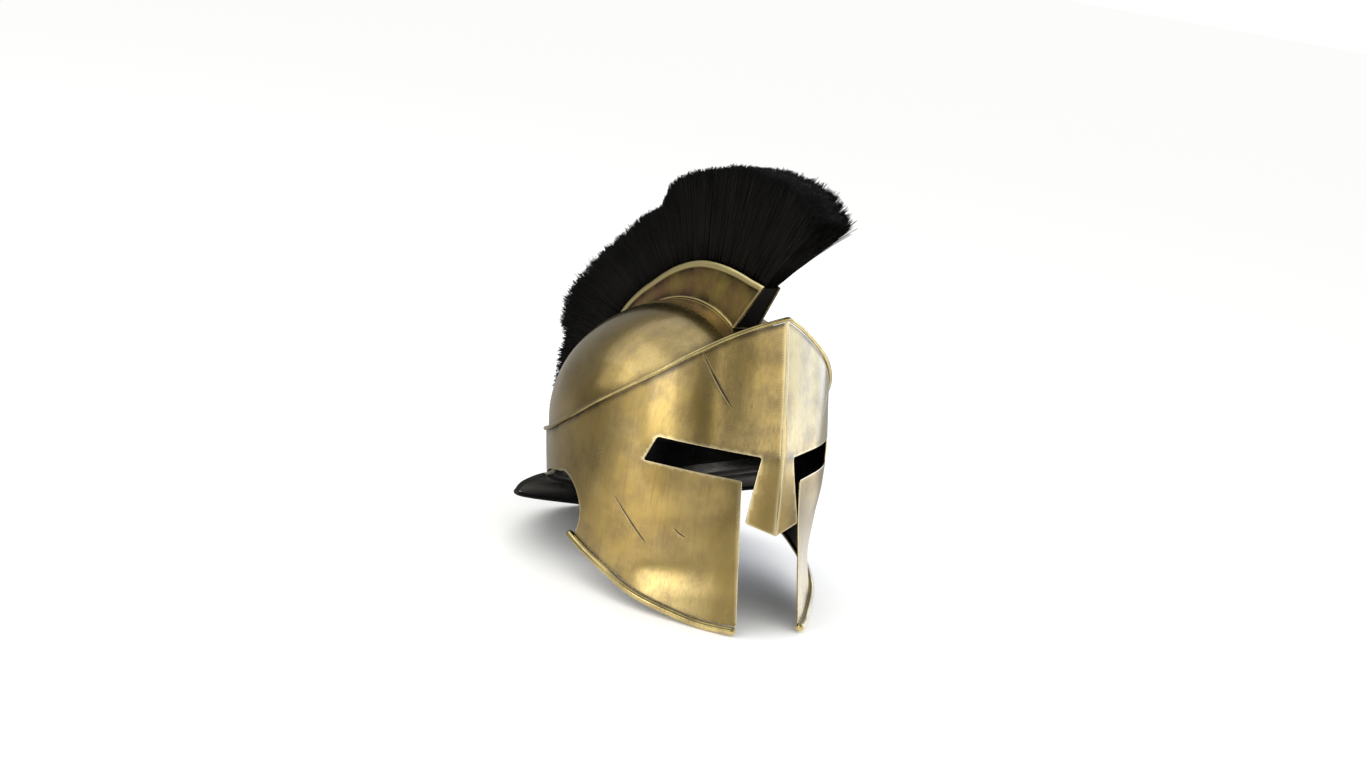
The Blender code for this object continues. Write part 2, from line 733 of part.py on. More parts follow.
def crest_core():
    first, last = CREST_LINE[0][0] + 0.3, CREST_LINE[-1][0]
    boxed = [(a, True) for a in stations(first, last, COLUMN_STEP)]
    bare = [(a, False) for a in stations(last + 1.0, CORE_END, COLUMN_STEP)]
    sections = []
    for a, in_box in boxed + bare:
        lift = core_top(a)
        height = max(crest_height(a), lift)
        floor = 2 * GAP + WALL
        foot = CREST_FOOT_WIDTH / 2 - WALL - 2 * GAP
        top = CREST_TOP_WIDTH / 2 - WALL - GAP
        if a > CORE_STRIP_START:
            foot = CORE_STRIP_WIDTH / 2
            top = CORE_STRIP_WIDTH / 2 - GAP
        if in_box:
            foot = foot + (top - foot) * floor / height
        else:
            floor = GAP
        section = [(foot, floor), (top, lift), (-top, lift), (-foot, floor), (0.0, floor)]
        sections.append([over_dome(a, x, h) for x, h in section])
    mesh = bmesh.new()
    loft(mesh, sections, False)
    return new_piece("crest_core", mesh, BLACK_BAR)


def plume():
    """Fan of locks on one backing. Each lock stands proud of the valleys beside it and ends ragged."""
    first, last = PLUME_LINE[0][0], PLUME_LINE[-1][0]
    angles = stations(first, last, PLUME_LOCK_STEP)
    sections = []
    for i, a in enumerate(angles):
        tip_angle, share = blend_rows(PLUME_LINE, a)
        ridge = 1.0 if i % 2 else 0.0
        ragged = ridge * PLUME_LOCK_RAGGED * (0.6 + 0.4 * math.sin(i * PLUME_LOCK_TURN))
        root = over_dome(a, 0.0, core_top(a) + GAP)
        t = math.radians(tip_angle)
        reach = share * PLUME_REACH - PLUME_LOCK_RAGGED + ragged
        tip = DOME_CENTRE + Vector((0.0, reach * math.sin(t), reach * math.cos(t)))
        section = []
        for rise, spread in PLUME_SECTION:
            half = (PLUME_ROOT_WIDTH + (PLUME_TIP_WIDTH - PLUME_ROOT_WIDTH) * spread) / 2
            half -= PLUME_LOCK_DEPTH * (1 - ridge) * min(1.0, rise * 3)
            section.append((half, root.lerp(tip, rise)))
        half_section = [Vector((x, p.y, p.z)) for x, p in section]
        mirrored = [Vector((-p.x, p.y, p.z)) for p in reversed(half_section)]
        sections.append(half_section + [tip] + mirrored)
    mesh = bmesh.new()
    loft(mesh, sections, False)
    return new_piece("plume", mesh, BLACK_BRISTLE)


def rest_turn(pieces):
    """Turn and shift that set the helmet down: its lowest side-on support under its own middle."""
    points = np.array([(v.co.y, v.co.z) for piece in pieces for v in piece.data.vertices])
    shell = np.array([v.co.y for piece in pieces if piece.name.startswith(("skull_dome", "face_mask"))
                      for v in piece.data.vertices])
    middle = float(shell.min() + shell.max()) / 2
    hull = []
    for p in sorted(map(tuple, points)):
        while len(hull) > 1:
            (ax, az), (bx, bz) = hull[-2], hull[-1]
            if (bx - ax) * (p[1] - az) - (bz - az) * (p[0] - ax) > 0:
                break
            hull.pop()
        hull.append(p)
    for (ay, az), (by, bz) in zip(hull, hull[1:]):
        if ay <= middle <= by:
            turn = Matrix.Rotation(-math.atan2(bz - az, by - ay), 4, "X")
            break
    turned_points = np.array([turn @ v.co for piece in pieces for v in piece.data.vertices])
    low, high = turned_points.min(axis=0), turned_points.max(axis=0)
    shift = Vector((-(low[0] + high[0]) / 2, -(low[1] + high[1]) / 2, -low[2]))
    return Matrix.Translation(shift) @ turn


def main():
    for piece in list(bpy.data.objects):
        bpy.data.objects.remove(piece, do_unlink=True)
    pieces = [
        dome_half("skull_dome_left", 1),
        dome_half("skull_dome_right", -1),
        face_mask(),
        brow_bead(),
        cheek_bead("cheek_bead_right", -1),
        cheek_bead("cheek_bead_left", 1),
        neck_guard(),
        neck_rim(),
        crest_box(),
        crest_core(),
        plume(),
    ]
    rest = rest_turn(pieces)
    for piece in pieces:
        piece.data.transform(rest)


main()
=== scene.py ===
"""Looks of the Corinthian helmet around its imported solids.

Every piece is shaped upright, in metres, as the helmet is worn: the face looks along -Y, the wearer's
left is at +X, and heights count from the cheek tips. Places on the shell are given by their angle
round the axis, 0 degrees at the middle of the face and 180 at the nape. SET_DOWN then lays each
finished mesh where the helmet rests, on its cheek tips and the rim of its neck guard.
"""
import math

import bmesh
import bpy
import numpy as np
from mathutils import Matrix, Vector
from mathutils.geometry import delaunay_2d_cdt


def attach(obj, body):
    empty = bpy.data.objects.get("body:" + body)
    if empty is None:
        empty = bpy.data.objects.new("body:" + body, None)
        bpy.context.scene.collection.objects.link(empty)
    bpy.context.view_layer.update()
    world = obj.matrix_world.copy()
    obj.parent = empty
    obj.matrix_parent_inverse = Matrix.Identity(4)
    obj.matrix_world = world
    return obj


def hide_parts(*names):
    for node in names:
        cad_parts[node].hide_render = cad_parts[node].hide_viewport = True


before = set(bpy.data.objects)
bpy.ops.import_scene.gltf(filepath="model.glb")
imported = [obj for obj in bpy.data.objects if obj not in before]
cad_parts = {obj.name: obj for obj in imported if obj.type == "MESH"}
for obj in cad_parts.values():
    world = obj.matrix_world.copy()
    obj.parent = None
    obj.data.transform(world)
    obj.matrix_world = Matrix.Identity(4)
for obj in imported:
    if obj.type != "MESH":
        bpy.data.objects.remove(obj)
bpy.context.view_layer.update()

# The helmet leans back by this turn about X when it rests by itself, and is then shifted by these
REST_TILT = 15.4585
REST_BACK = -0.057445
REST_DROP = -0.030766
SET_DOWN = Matrix.Translation((0.0, REST_BACK, REST_DROP)) @ Matrix.Rotation(-math.radians(REST_TILT), 4, "X")

# Sheet metal
WALL = 0.0012
GAP = 0.0003
LAP_GAP = 0.0005
LAP = 0.007
EDGE_ROUND = 0.00035

# Plan of the shell at the brow, and the height from the cheek tips to the brow's peak
SHELL_WIDTH = 0.208
SHELL_FRONT = 0.1215
SHELL_BACK = 0.123
CREASE_REACH = 0.1336
CREASE_SOFT = 0.0062
FACE_HEIGHT = 0.230

# The flats beside the crease bulge a little, most at a third of the way and from this share of the height
FLAT_BULGE = 0.0008
BULGE_PEAK = 27 / 4
BULGE_FULL = 0.7

# Plan down the height: shares of FACE_HEIGHT, of half SHELL_WIDTH, of SHELL_FRONT and of CREASE_REACH
PLAN = (
    # height, half_width, front, crease
    (0.000, 0.962, 0.889, 1.100),
    (0.107, 0.942, 0.856, 1.108),
    (0.215, 0.923, 0.831, 1.115),
    (0.346, 0.952, 0.881, 1.070),
    (0.476, 0.986, 0.963, 1.018),
    (0.610, 1.000, 1.000, 1.000),
    (1.000, 1.000, 1.000, 1.000),
)

# Brow bead, by angle in degrees and share of FACE_HEIGHT at the bead's middle
BROW_LINE = (
    (0.0, 1.000),
    (9.0, 0.970),
    (17.0, 0.940),
    (28.5, 0.890),
    (46.5, 0.808),
    (69.5, 0.727),
    (89.5, 0.667),
    (113.0, 0.623),
    (180.0, 0.598),
)
BROW_BEAD = 0.0034
BROW_BEAD_OUT = 0.0006

# Eye slot, nasal and front edge of the cheek: angle in degrees and share of FACE_HEIGHT
EYE_OUTER_TOP = (42.8, 0.618)
EYE_OUTER_BOTTOM = (48.3, 0.5435)
EYE_INNER_TOP = (6.4, 0.562)
CHEEK_INNER_TOP = (12.2, 0.487)
NASAL_CORNER = (11.0, 0.353)
NASAL_TIP_HEIGHT = 0.312
NASAL_LEAN = 0.008
NASAL_FACET_AT_TIP = 13.0
CORNER_ROUND = 0.002

# Lower edge of the cheek plate from its tip to the notch: angle and share of FACE_HEIGHT
CHEEK_EDGE = (
    (13.0, 0.000),
    (24.7, 0.017),
    (38.5, 0.054),
    (53.3, 0.101),
    (70.0, 0.174),
    (83.0, 0.226),
    (94.0, 0.270),
)
CHEEK_BEAD = 0.0060
CHEEK_BEAD_OUT = 0.0008
CHEEK_BEAD_SHORT_AT_TIP = 0.6
CHEEK_BEAD_SHORT_AT_NOTCH = 1.8

# Notch behind the cheek: a round bite in the side wall
NOTCH_ANGLE = 97.5
NOTCH_DEPTH = 0.0248
NOTCH_TOP = 0.112
NOTCH_HEIGHT = 0.0505

# Neck guard: where its flare leaves the wall, how far it reaches and how far it drops
GUARD_START = 108.0
GUARD_CORNER = 12.0
GUARD_HALF_WIDTH = 0.127
GUARD_BACK = 0.150
GUARD_SEAT_SIDE = 0.1115
GUARD_SEAT_BACK = 0.0912
GUARD_DROP = 0.0135
GUARD_FIRST_SLOPE = 0.25
GUARD_FILLET = 0.004
GUARD_FLARE = 0.985
GUARD_LEAST_REACH = 0.08
NECK_RIM = 0.0036

# Dome: an ellipsoid that nests in the mask, and turns out to meet the brow behind the peak
DOME_BASE = 0.1515
DOME_RISE = 0.0955
DOME_FRONT = 0.1176
VALLEY_SLOPE = 0.25
VALLEY_BELOW_EDGE = 0.002
DOME_LIP_DROP = 0.0002
DOME_LIP_ROUND = 0.0015

# Crest box, by angle over the dome in degrees (forward is negative) and share of CREST_HEIGHT
CREST_HEIGHT = 0.046
CREST_LINE = (
    (-48.0, 1.000),
    (-41.0, 0.870),
    (-27.0, 0.745),
    (-12.5, 0.663),
    (5.0, 0.545),
    (24.0, 0.440),
    (48.0, 0.420),
    (66.0, 0.300),
    (80.0, 0.110),
)
CREST_TOP_WIDTH = 0.0152
CREST_FOOT_WIDTH = 0.0220
CREST_BORDER = 0.0052
CREST_FOOT_BORDER = 0.0011
CREST_BULGE = 0.0005
CREST_PANEL_DEPTH = 0.0009
CREST_END_BORDER = 1.5
CREST_END_ROUND = 0.15

# Bar that holds the bristles
CORE_BELOW_EDGE = 0.002
CORE_STRIP_WIDTH = 0.011
CORE_STRIP_HEIGHT = 0.006
CORE_STRIP_START = 64.0
CORE_END = 90.0
CORE_ROUND = 0.0006

# Plume: root angle and tip angle over the dome in degrees, tip distance as a share of PLUME_REACH
PLUME_REACH = 0.237
PLUME_LINE = (
    (-47.2, -52.0, 0.995),
    (-43.0, -47.1, 1.000),
    (-37.5, -41.1, 0.978),
    (-32.0, -35.4, 0.945),
    (-24.5, -27.5, 0.905),
    (-13.0, -15.4, 0.840),
    (-2.5, -3.6, 0.802),
    (2.0, 1.5, 0.778),
    (7.0, 7.5, 0.710),
    (16.0, 17.4, 0.706),
    (21.0, 22.9, 0.700),
    (31.0, 33.8, 0.715),
    (45.0, 49.8, 0.776),
    (56.0, 61.1, 0.828),
    (60.0, 65.0, 0.825),
    (66.0, 70.0, 0.770),
    (72.0, 77.0, 0.792),
    (77.0, 84.0, 0.785),
    (82.0, 93.0, 0.785),
    (86.0, 102.0, 0.790),
    (89.5, 110.0, 0.770),
)
PLUME_ROOT_WIDTH = 0.010
PLUME_TIP_WIDTH = 0.034
PLUME_SPREAD = ((0.0, 0.0), (0.3, 0.2), (0.65, 0.6), (1.0, 1.0))

# Bristles: real ones are about 0.25 mm thick. They are drawn three times as thick, so that they show.
BRISTLE_WIDTH = 0.0008
BRISTLE_TIP_SHARE = 0.3
BRISTLES_A_SIDE = 4800
BRISTLE_TIPS = 9000
BRISTLES_IN_FRONT = 1200
BRISTLE_SEED = 11
BRISTLE_LEAST_HEIGHT = 0.0006
LOCK_STEP = 1.3

# Steps between the points of a mesh: degrees along edges and round the dome, metres over the mask
EDGE_STEP = 0.75
NOTCH_STEP = 3.0
GUARD_STEP = 1.2
GUARD_CORNER_STEPS = (0.03, 0.06, 0.1, 0.16, 0.23, 0.32, 0.42, 0.54, 0.68, 0.84)
DOME_STEP = 1.5
DOME_ROWS = 48
VALLEY_ROWS = 8
CREST_STEP = 0.9
CORE_STEP = 1.5
PLUME_STEP = 0.45
LINE_STEP = 0.0014
GRID_STEP = 0.0021
CREASE_COLUMNS = [0.0003, 0.0007, 0.0012, 0.0032]
CUT_STEP = 0.0009

HALF_WIDTH = SHELL_WIDTH / 2
DOME_CENTRE = Vector((0.0, 0.0, DOME_BASE))
UNROLL = math.radians(1.0) * HALF_WIDTH
DOME_HALF_WIDTH = HALF_WIDTH - WALL - LAP_GAP
DOME_BACK = SHELL_BACK - WALL - LAP_GAP


def blend_rows(rows, at):
    """The other columns of a table at a value of its first, on a smooth curve without overshoot."""
    if at <= rows[0][0]:
        return rows[0][1:]
    if at >= rows[-1][0]:
        return rows[-1][1:]
    last = len(rows) - 1
    i = max(k for k in range(last) if rows[k][0] <= at)
    width = rows[i + 1][0] - rows[i][0]
    t = (at - rows[i][0]) / width

    def rise(k, column):
        return (rows[k + 1][column] - rows[k][column]) / (rows[k + 1][0] - rows[k][0])

    def slope(k, column):
        if k == 0:
            return rise(0, column)
        if k == last:
            return rise(last - 1, column)
        before, after = rise(k - 1, column), rise(k, column)
        return 0.0 if before * after <= 0 else 2 * before * after / (before + after)

    values = []
    for column in range(1, len(rows[0])):
        a, b = rows[i][column], rows[i + 1][column]
        ta, tb = slope(i, column) * width, slope(i + 1, column) * width
        smooth = (2 * t ** 3 - 3 * t ** 2 + 1) * a + (t ** 3 - 2 * t ** 2 + t) * ta
        values.append(smooth + (3 * t ** 2 - 2 * t ** 3) * b + (t ** 3 - t ** 2) * tb)
    return tuple(values)


def stations(start, end, step):
    count = max(1, round(abs(end - start) / step))
    return [start + (end - start) * i / count for i in range(count + 1)]


def eased(low, high, value):
    """0 below low, 1 above high, and a smooth step between them."""
    t = min(1.0, max(0.0, (value - low) / (high - low)))
    return t * t * (3 - 2 * t)


def fading(strength, near, far, distance):
    """A strength that holds up to one distance and is gone at another."""
    return strength * (1.0 - eased(near, far, distance))


def oval_radius(angle, half_width, front, back):
    """Distance from the axis to an oval whose front and back halves differ."""
    a = math.radians(angle)
    length = front if math.cos(a) > 0 else back
    return 1 / math.hypot(math.sin(a) / half_width, math.cos(a) / length)


def plan_sizes(height, inset):
    """Half width, front, back, crease and slope of the flats of the shell's plan at a height."""
    half_width, front, crease = blend_rows(PLAN, height / FACE_HEIGHT)
    half_width = half_width * HALF_WIDTH
    front = front * SHELL_FRONT
    crease = crease * CREASE_REACH
    touch = front * front / crease
    slope = math.atan2(crease - touch, half_width * math.sqrt(1 - (front / crease) ** 2))
    return half_width - inset, front - inset, SHELL_BACK - inset, crease - inset / math.cos(slope), slope


def mask_radius(angle, height, inset=0.0):
    """Distance from the axis to the shell: an oval, with a flat on each side of a softened crease."""
    half_width, front, back, crease, _ = plan_sizes(height, inset)
    a = math.hypot(math.radians(angle), CREASE_SOFT)
    root = EYE_INNER_TOP[1] * FACE_HEIGHT
    if height < root and abs(angle) < (NASAL_CORNER[0] + CHEEK_INNER_TOP[0]) / 2:
        root_crease, root_slope = plan_sizes(root, inset)[3:]
        down = (root - height) / (root - NASAL_TIP_HEIGHT * FACE_HEIGHT)
        facet = root_slope + (math.radians(NASAL_FACET_AT_TIP) - root_slope) * down
        return (root_crease - NASAL_LEAN * down) / (math.cos(a) + math.sin(a) * math.tan(facet))
    touch_y = front * front / crease
    touch_x = half_width * math.sqrt(1 - (front / crease) ** 2)
    touch_turn = math.atan2(touch_x, touch_y)
    if a < touch_turn:
        flat = math.atan2(crease - touch_y, touch_x)
        share = a / touch_turn
        above_eyes = eased(EYE_INNER_TOP[1], BULGE_FULL, height / FACE_HEIGHT)
        bulge = FLAT_BULGE * BULGE_PEAK * share * (1 - share) ** 2 * above_eyes
        return crease * math.cos(flat) / math.cos(a - flat) + bulge
    return oval_radius(angle, half_width, front, back)


def turned(angle, out, up):
    """Point at an angle round the axis, a way out from it and up."""
    a = math.radians(angle)
    return Vector((out * math.sin(a), -out * math.cos(a), up))


def on_shell(angle, height, inset=0.0):
    """Point of the shell, on the wearer's left for angles above 0."""
    return turned(angle, mask_radius(angle, height, inset), height)


def shell_normal(angle, height, aside=0.25, above=0.0005):
    """Outward direction of the shell at a place, from its neighbours."""
    across = on_shell(angle + aside, height) - on_shell(angle - aside, height)
    up = on_shell(angle, height + above) - on_shell(angle, height - above)
    return across.cross(up).normalized()


def bead_run(slope_line, angle, step=2.0):
    """Length of an edge for each unit of its unrolled run, from a line that gives heights by angle."""
    rise = slope_line(angle + step) - slope_line(angle - step)
    return math.hypot(1.0, rise / (2 * step * UNROLL))


def brow_height(angle):
    return blend_rows(BROW_LINE, min(abs(angle), 180.0))[0] * FACE_HEIGHT


def mask_top(angle):
    """Upper edge of the sheet, under the brow bead."""
    return brow_height(angle) - (BROW_BEAD / 2 + GAP) * bead_run(brow_height, max(abs(angle), 2.0))


def cheek_height(angle):
    return blend_rows(CHEEK_EDGE, angle)[0] * FACE_HEIGHT


def cheek_sheet_height(angle):
    """Lower edge of the sheet, above the cheek bead."""
    return cheek_height(angle) + (CHEEK_BEAD + GAP) * bead_run(cheek_height, angle)


def guard_seat(angle):
    """Height at which the flare of the neck guard leaves the wall."""
    level_end = GUARD_START + GUARD_CORNER / 2
    share = max(0.0, (abs(angle) - level_end) / (180.0 - level_end))
    return GUARD_SEAT_SIDE + (GUARD_SEAT_BACK - GUARD_SEAT_SIDE) * share


# Meshes

ROD_SIDES = 16
ROD_END_TURNS = (0.0, 0.45, 0.85, 1.2, 1.45)
ROD_END_BULGE = 0.6
SAME_POINT = 1e-6


def dressed(name, data, materials, nodes):
    """Put a mesh in the scene, laid down with the helmet, and let it stand for its solids."""
    data.transform(SET_DOWN)
    data.shade_smooth()
    for material in materials:
        data.materials.append(material)
    piece = bpy.data.objects.new(name, data)
    bpy.context.scene.collection.objects.link(piece)
    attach(piece, "root")
    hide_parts(*nodes)
    return piece


def finished(name, mesh, materials, nodes):
    """Close a mesh, turn its faces outwards and dress it."""
    bmesh.ops.remove_doubles(mesh, verts=mesh.verts, dist=SAME_POINT)
    bmesh.ops.recalc_face_normals(mesh, faces=mesh.faces)
    data = bpy.data.meshes.new(name)
    mesh.to_mesh(data)
    mesh.free()
    return dressed(name, data, materials, nodes)


def sheet_marks(mesh):
    """Layers that the brass reads: where it is painted brighter, for wear and for painted highlights, and
    where it is painted darker, for soiling and for painted shade.
    """
    return mesh.verts.layers.float.new("wear_and_highlight"), mesh.verts.layers.float.new("dirt_and_shade")


def neighbours(line, i, closed):
    """The entries before and after one of a line, or the entry itself past an open end."""
    before = line[i - 1] if closed or i > 0 else line[i]
    after = line[(i + 1) % len(line)] if closed or i < len(line) - 1 else line[i]
    return before, after


def walled(profile):
    """The inner face of a sheet's section: each point moved in by the wall, square to the sheet."""
    inner = []
    for i, (out, up) in enumerate(profile):
        before, after = neighbours(profile, i, False)
        run = Vector((after[0] - before[0], after[1] - before[1])).normalized()
        inner.append((out + run.y * WALL, up - run.x * WALL))
    return inner


def loft(mesh, sections, closed):
    """Skin closed sections of equal point count into one body, capped at both ends unless closed."""
    rings = [[mesh.verts.new(p) for p in section] for section in sections]
    count = len(rings)
    sides = len(rings[0])
    for i in range(count if closed else count - 1):
        a, b = rings[i], rings[(i + 1) % count]
        for k in range(sides):
            m = (k + 1) % sides
            mesh.faces.new((a[k], a[m], b[m], b[k]))
    if not closed:
        mesh.faces.new(rings[0])
        mesh.faces.new(rings[-1])
    return rings


def round_rod(mesh, centres, ups, diameter, closed):
    """Sweep a round rod along a line of points. Open ends are domed."""
    sections = []
    for i, centre in enumerate(centres):
        before, after = neighbours(centres, i, closed)
        forward = (after - before).normalized()
        up = (ups[i] - forward * ups[i].dot(forward)).normalized()
        side = forward.cross(up)
        spots = [(1.0, 0.0)]
        if not closed and i == 0:
            spots = [(math.cos(t), -math.sin(t)) for t in reversed(ROD_END_TURNS)]
        elif not closed and i == len(centres) - 1:
            spots = [(math.cos(t), math.sin(t)) for t in ROD_END_TURNS]
        for size, push in spots:
            ring = []
            for k in range(ROD_SIDES):
                t = math.tau * k / ROD_SIDES
                spoke = up * math.cos(t) + side * math.sin(t)
                ring.append(centre + (spoke * size + forward * push * ROD_END_BULGE) * diameter / 2)
            sections.append(ring)
    loft(mesh, sections, closed)


def edge_centres(edge, outs, away, diameter, proud, closed):
    """Centre line of a bead that follows a sheet's edge, a gap off it and proud of its outer face."""
    centres = []
    for i, point in enumerate(edge):
        before, after = neighbours(edge, i, closed)
        across = (after - before).normalized().cross(outs[i]).normalized()
        if across.dot(away[i]) < 0:
            across = -across
        centres.append(point + across * (diameter / 2 + GAP) + outs[i] * proud)
    return centres


# The face mask

# Old cuts in the mask: side (1 is the wearer's left), two ends as angle and share of FACE_HEIGHT,
# width and depth in millimetres
CUTS = (
    (-1, (27.0, 0.885), (16.5, 0.715), 1.5, 0.34),
    (-1, (62.0, 0.425), (48.0, 0.275), 1.4, 0.32),
    (-1, (36.0, 0.330), (31.0, 0.300), 1.0, 0.25),
    (-1, (72.0, 0.560), (66.5, 0.572), 0.7, 0.20),
    (1, (38.0, 0.800), (30.0, 0.690), 1.0, 0.28),
    (1, (52.0, 0.250), (40.0, 0.330), 1.0, 0.28),
    (1, (120.0, 0.530), (108.0, 0.560), 0.8, 0.22),
)
# Section of a cut: offset in half widths and share of its depth. Its lips stand up a little.
CUT_ROWS = ((-1.9, 0.0), (-1.25, -0.02), (-0.75, 0.7), (0.0, 1.0), (0.75, 0.7), (1.3, -0.2), (1.9, 0.0))
CUT_BOW = 0.0006
CUT_END_WIDTH = 0.35
CUT_FADE = 0.6
MILLIMETRE = 0.001

# Brightness and darkness painted on the mask: strength, and the metres between which it fades
# painted highlight along the crease
CREASE_PAINTED_HIGHLIGHT = (0.8, 0.0006, 0.0022)
# painted shade under the brow bead
BROW_PAINTED_SHADE = (1.0, 0.0, 0.005)
# painted shade just above the cheek bead
CHEEK_PAINTED_SHADE = (0.4, 0.0, 0.003)
# darker round the nasal's root
ROOT_DARKENING = (0.55, 0.0, 0.007)
# Where the cheek's painted shade lies: cheek angles and top share of FACE_HEIGHT; and half angle of the
# darkening at the nasal's root
CHEEK_SHADE_ANGLES = (12.0, 94.0)
CHEEK_SHADE_TOP = 0.3
ROOT_DARKENING_ANGLE = 10.0
# A cut's lips and bed: brightening and darkening for each metre of height and depth, and the most brightening
LIP_GAIN = 12000
LIP_MOST_BRIGHT = 0.5
BED_GAIN = 9000
# Free edges get a painted highlight, up to this angle and this far from the beads
FREE_EDGE_HIGHLIGHT = 0.6
FREE_EDGE_END = 100.0
BROW_BEAD_CLEAR = 0.003
CHEEK_BEAD_CLEAR = 0.002

# Round of the sheet's edge: turn in degrees, and whether it is on the inner face
RIM_TURNS = ((30, False), (60, False), (90, False), (90, True), (60, True), (30, True))
# painted highlight on the outer half of the sheet's rounded edge
RIM_HIGHLIGHT = 0.9
RIM_ENAMEL_FROM = 5
RIM_LOOK = 0.0004
SEAM_NORMAL_OFF = 0.1

AT_SEAM = 1e-4
ON_MIDDLE = 2e-7
SAME_FLAT_POINT = 1e-7
GRID_CLEAR = 0.45
AFTER_NOTCH = 0.3
CORNER_STEPS = 6


def at_seam(place):
    """Whether a place of the unrolled mask is on the middle plane, where its halves meet."""
    angle = place.x / UNROLL
    return min(abs(angle), abs(180.0 - angle)) < AT_SEAM


def rounded(before, corner, after):
    """Points of a round in place of a corner of the unrolled outline."""
    a = corner + (before - corner).normalized() * CORNER_ROUND
    b = corner + (after - corner).normalized() * CORNER_ROUND
    shares = [i / CORNER_STEPS for i in range(CORNER_STEPS + 1)]
    return [a * (1 - t) ** 2 + corner * 2 * t * (1 - t) + b * t ** 2 for t in shares]


def mask_outline():
    """Half of the mask, unrolled in metres, from the brow's peak over the back and round to the nasal."""
    def place(pair):
        return Vector((pair[0] * UNROLL, pair[1] * FACE_HEIGHT))

    def at(angle, height):
        return Vector((angle * UNROLL, height))

    def line(start, end):
        count = max(1, round((end - start).length / LINE_STEP))
        return [start.lerp(end, i / count) for i in range(1, count)]

    points = [at(a, mask_top(a)) for a in stations(0.0, 180.0, EDGE_STEP)]
    points += [at(a, guard_seat(a)) for a in stations(180.0, NOTCH_ANGLE, EDGE_STEP)]
    middle = NOTCH_TOP - NOTCH_HEIGHT / 2
    for turn in stations(0.0, 180.0, NOTCH_STEP)[1:]:
        a = NOTCH_ANGLE - NOTCH_DEPTH / UNROLL * math.sin(math.radians(turn))
        h = middle + NOTCH_HEIGHT / 2 * math.cos(math.radians(turn))
        if h < cheek_sheet_height(a) + WALL / 2:
            break
        points.append(at(a, h))

    tip_angle = CHEEK_EDGE[0][0]
    last = points[-1].x / UNROLL + AFTER_NOTCH
    # the round of the cheek tip is longer than a step of the edge, so the edge ends a step early
    points += [at(a, cheek_sheet_height(a)) for a in stations(last, tip_angle, EDGE_STEP)[:-2]]
    nasal_tip = Vector((0.0, NASAL_TIP_HEIGHT * FACE_HEIGHT))
    eye_bottom = place(EYE_OUTER_BOTTOM)
    corners = [points[-1], at(tip_angle, cheek_sheet_height(tip_angle)), place(CHEEK_INNER_TOP), eye_bottom,
               place(EYE_OUTER_TOP), place(EYE_INNER_TOP), place(NASAL_CORNER), nasal_tip]
    for before, corner, after in zip(corners, corners[1:], corners[2:]):
        # a straight run starts and ends clear of the rounds
        skip = 2 if corner is eye_bottom else 1
        run = line(corner, after)
        points += rounded(before, corner, after)
        points += run[skip:] if after is nasal_tip else run[skip:-skip]
    points.append(nasal_tip)
    return points


def drawn_in(outline, distance):
    """The outline moved into the sheet, and each point's outward direction. Seam points stay on the seam."""
    moved, outwards = [], []
    for i, p in enumerate(outline):
        before, after = neighbours(outline, i, True)
        out = Vector((0.0, 0.0))
        for a, b in ((before, p), (p, after)):
            if not (at_seam(a) and at_seam(b)):
                run = (b - a).normalized()
                out += Vector((-run.y, run.x))
        out.normalize()
        if at_seam(p):
            out = Vector((0.0, math.copysign(1.0, out.y)))
        moved.append(p - out * distance)
        outwards.append(out)
    return moved, outwards


def inside_far(points, outline, clear):
    """Those of an array of points that lie inside the outline and at least clear from it."""
    line = np.array([tuple(p) for p in outline])
    following = np.roll(line, -1, axis=0)
    within = np.zeros(len(points), bool)
    nearest = np.full(len(points), np.inf)
    for (x1, y1), (x2, y2) in zip(line, following):
        rx, ry = x2 - x1, y2 - y1
        crosses = (y1 > points[:, 1]) != (y2 > points[:, 1])
        if y2 != y1:
            within ^= crosses & (points[:, 0] < x1 + rx * (points[:, 1] - y1) / (y2 - y1))
        t = ((points[:, 0] - x1) * rx + (points[:, 1] - y1) * ry) / (rx * rx + ry * ry)
        t = np.clip(t, 0, 1)
        gap = np.hypot(points[:, 0] - x1 - rx * t, points[:, 1] - y1 - ry * t)
        nearest = np.minimum(nearest, gap)
    return points[within & (nearest > clear)]


def mask_grid(inset_line):
    """Points of the unrolled mask between which its faces hang, closer together beside the crease."""
    columns = [c * GRID_STEP for c in range(int(180.0 * UNROLL / GRID_STEP) + 1)] + CREASE_COLUMNS
    grid = []
    for k, x in enumerate(sorted(columns)):
        for row in range(int(FACE_HEIGHT / GRID_STEP) + 2):
            grid.append((x, (row + 0.5 * (k % 2)) * GRID_STEP))
    return inside_far(np.array(grid), inset_line, GRID_CLEAR * GRID_STEP)


def cut_points(side):
    """Rows of points along and beside each cut of one side, with the depth to sink each of them."""
    rows = []
    for cut_side, start, end, width, depth in CUTS:
        if cut_side != side:
            continue
        a = Vector((start[0] * UNROLL, start[1] * FACE_HEIGHT))
        b = Vector((end[0] * UNROLL, end[1] * FACE_HEIGHT))
        run = (b - a).normalized()
        across = Vector((-run.y, run.x))
        half = width / 2 * MILLIMETRE
        for t in stations(0.0, 1.0, CUT_STEP / (b - a).length):
            fade = max(0.0, math.sin(math.pi * t)) ** CUT_FADE
            bow = across * CUT_BOW * math.sin(math.pi * t)
            for offset, share in CUT_ROWS:
                reach = offset * half * (CUT_END_WIDTH + (1 - CUT_END_WIDTH) * fade)
                rows.append((a.lerp(b, t) + bow + across * reach, share * depth * MILLIMETRE * fade))
    return rows


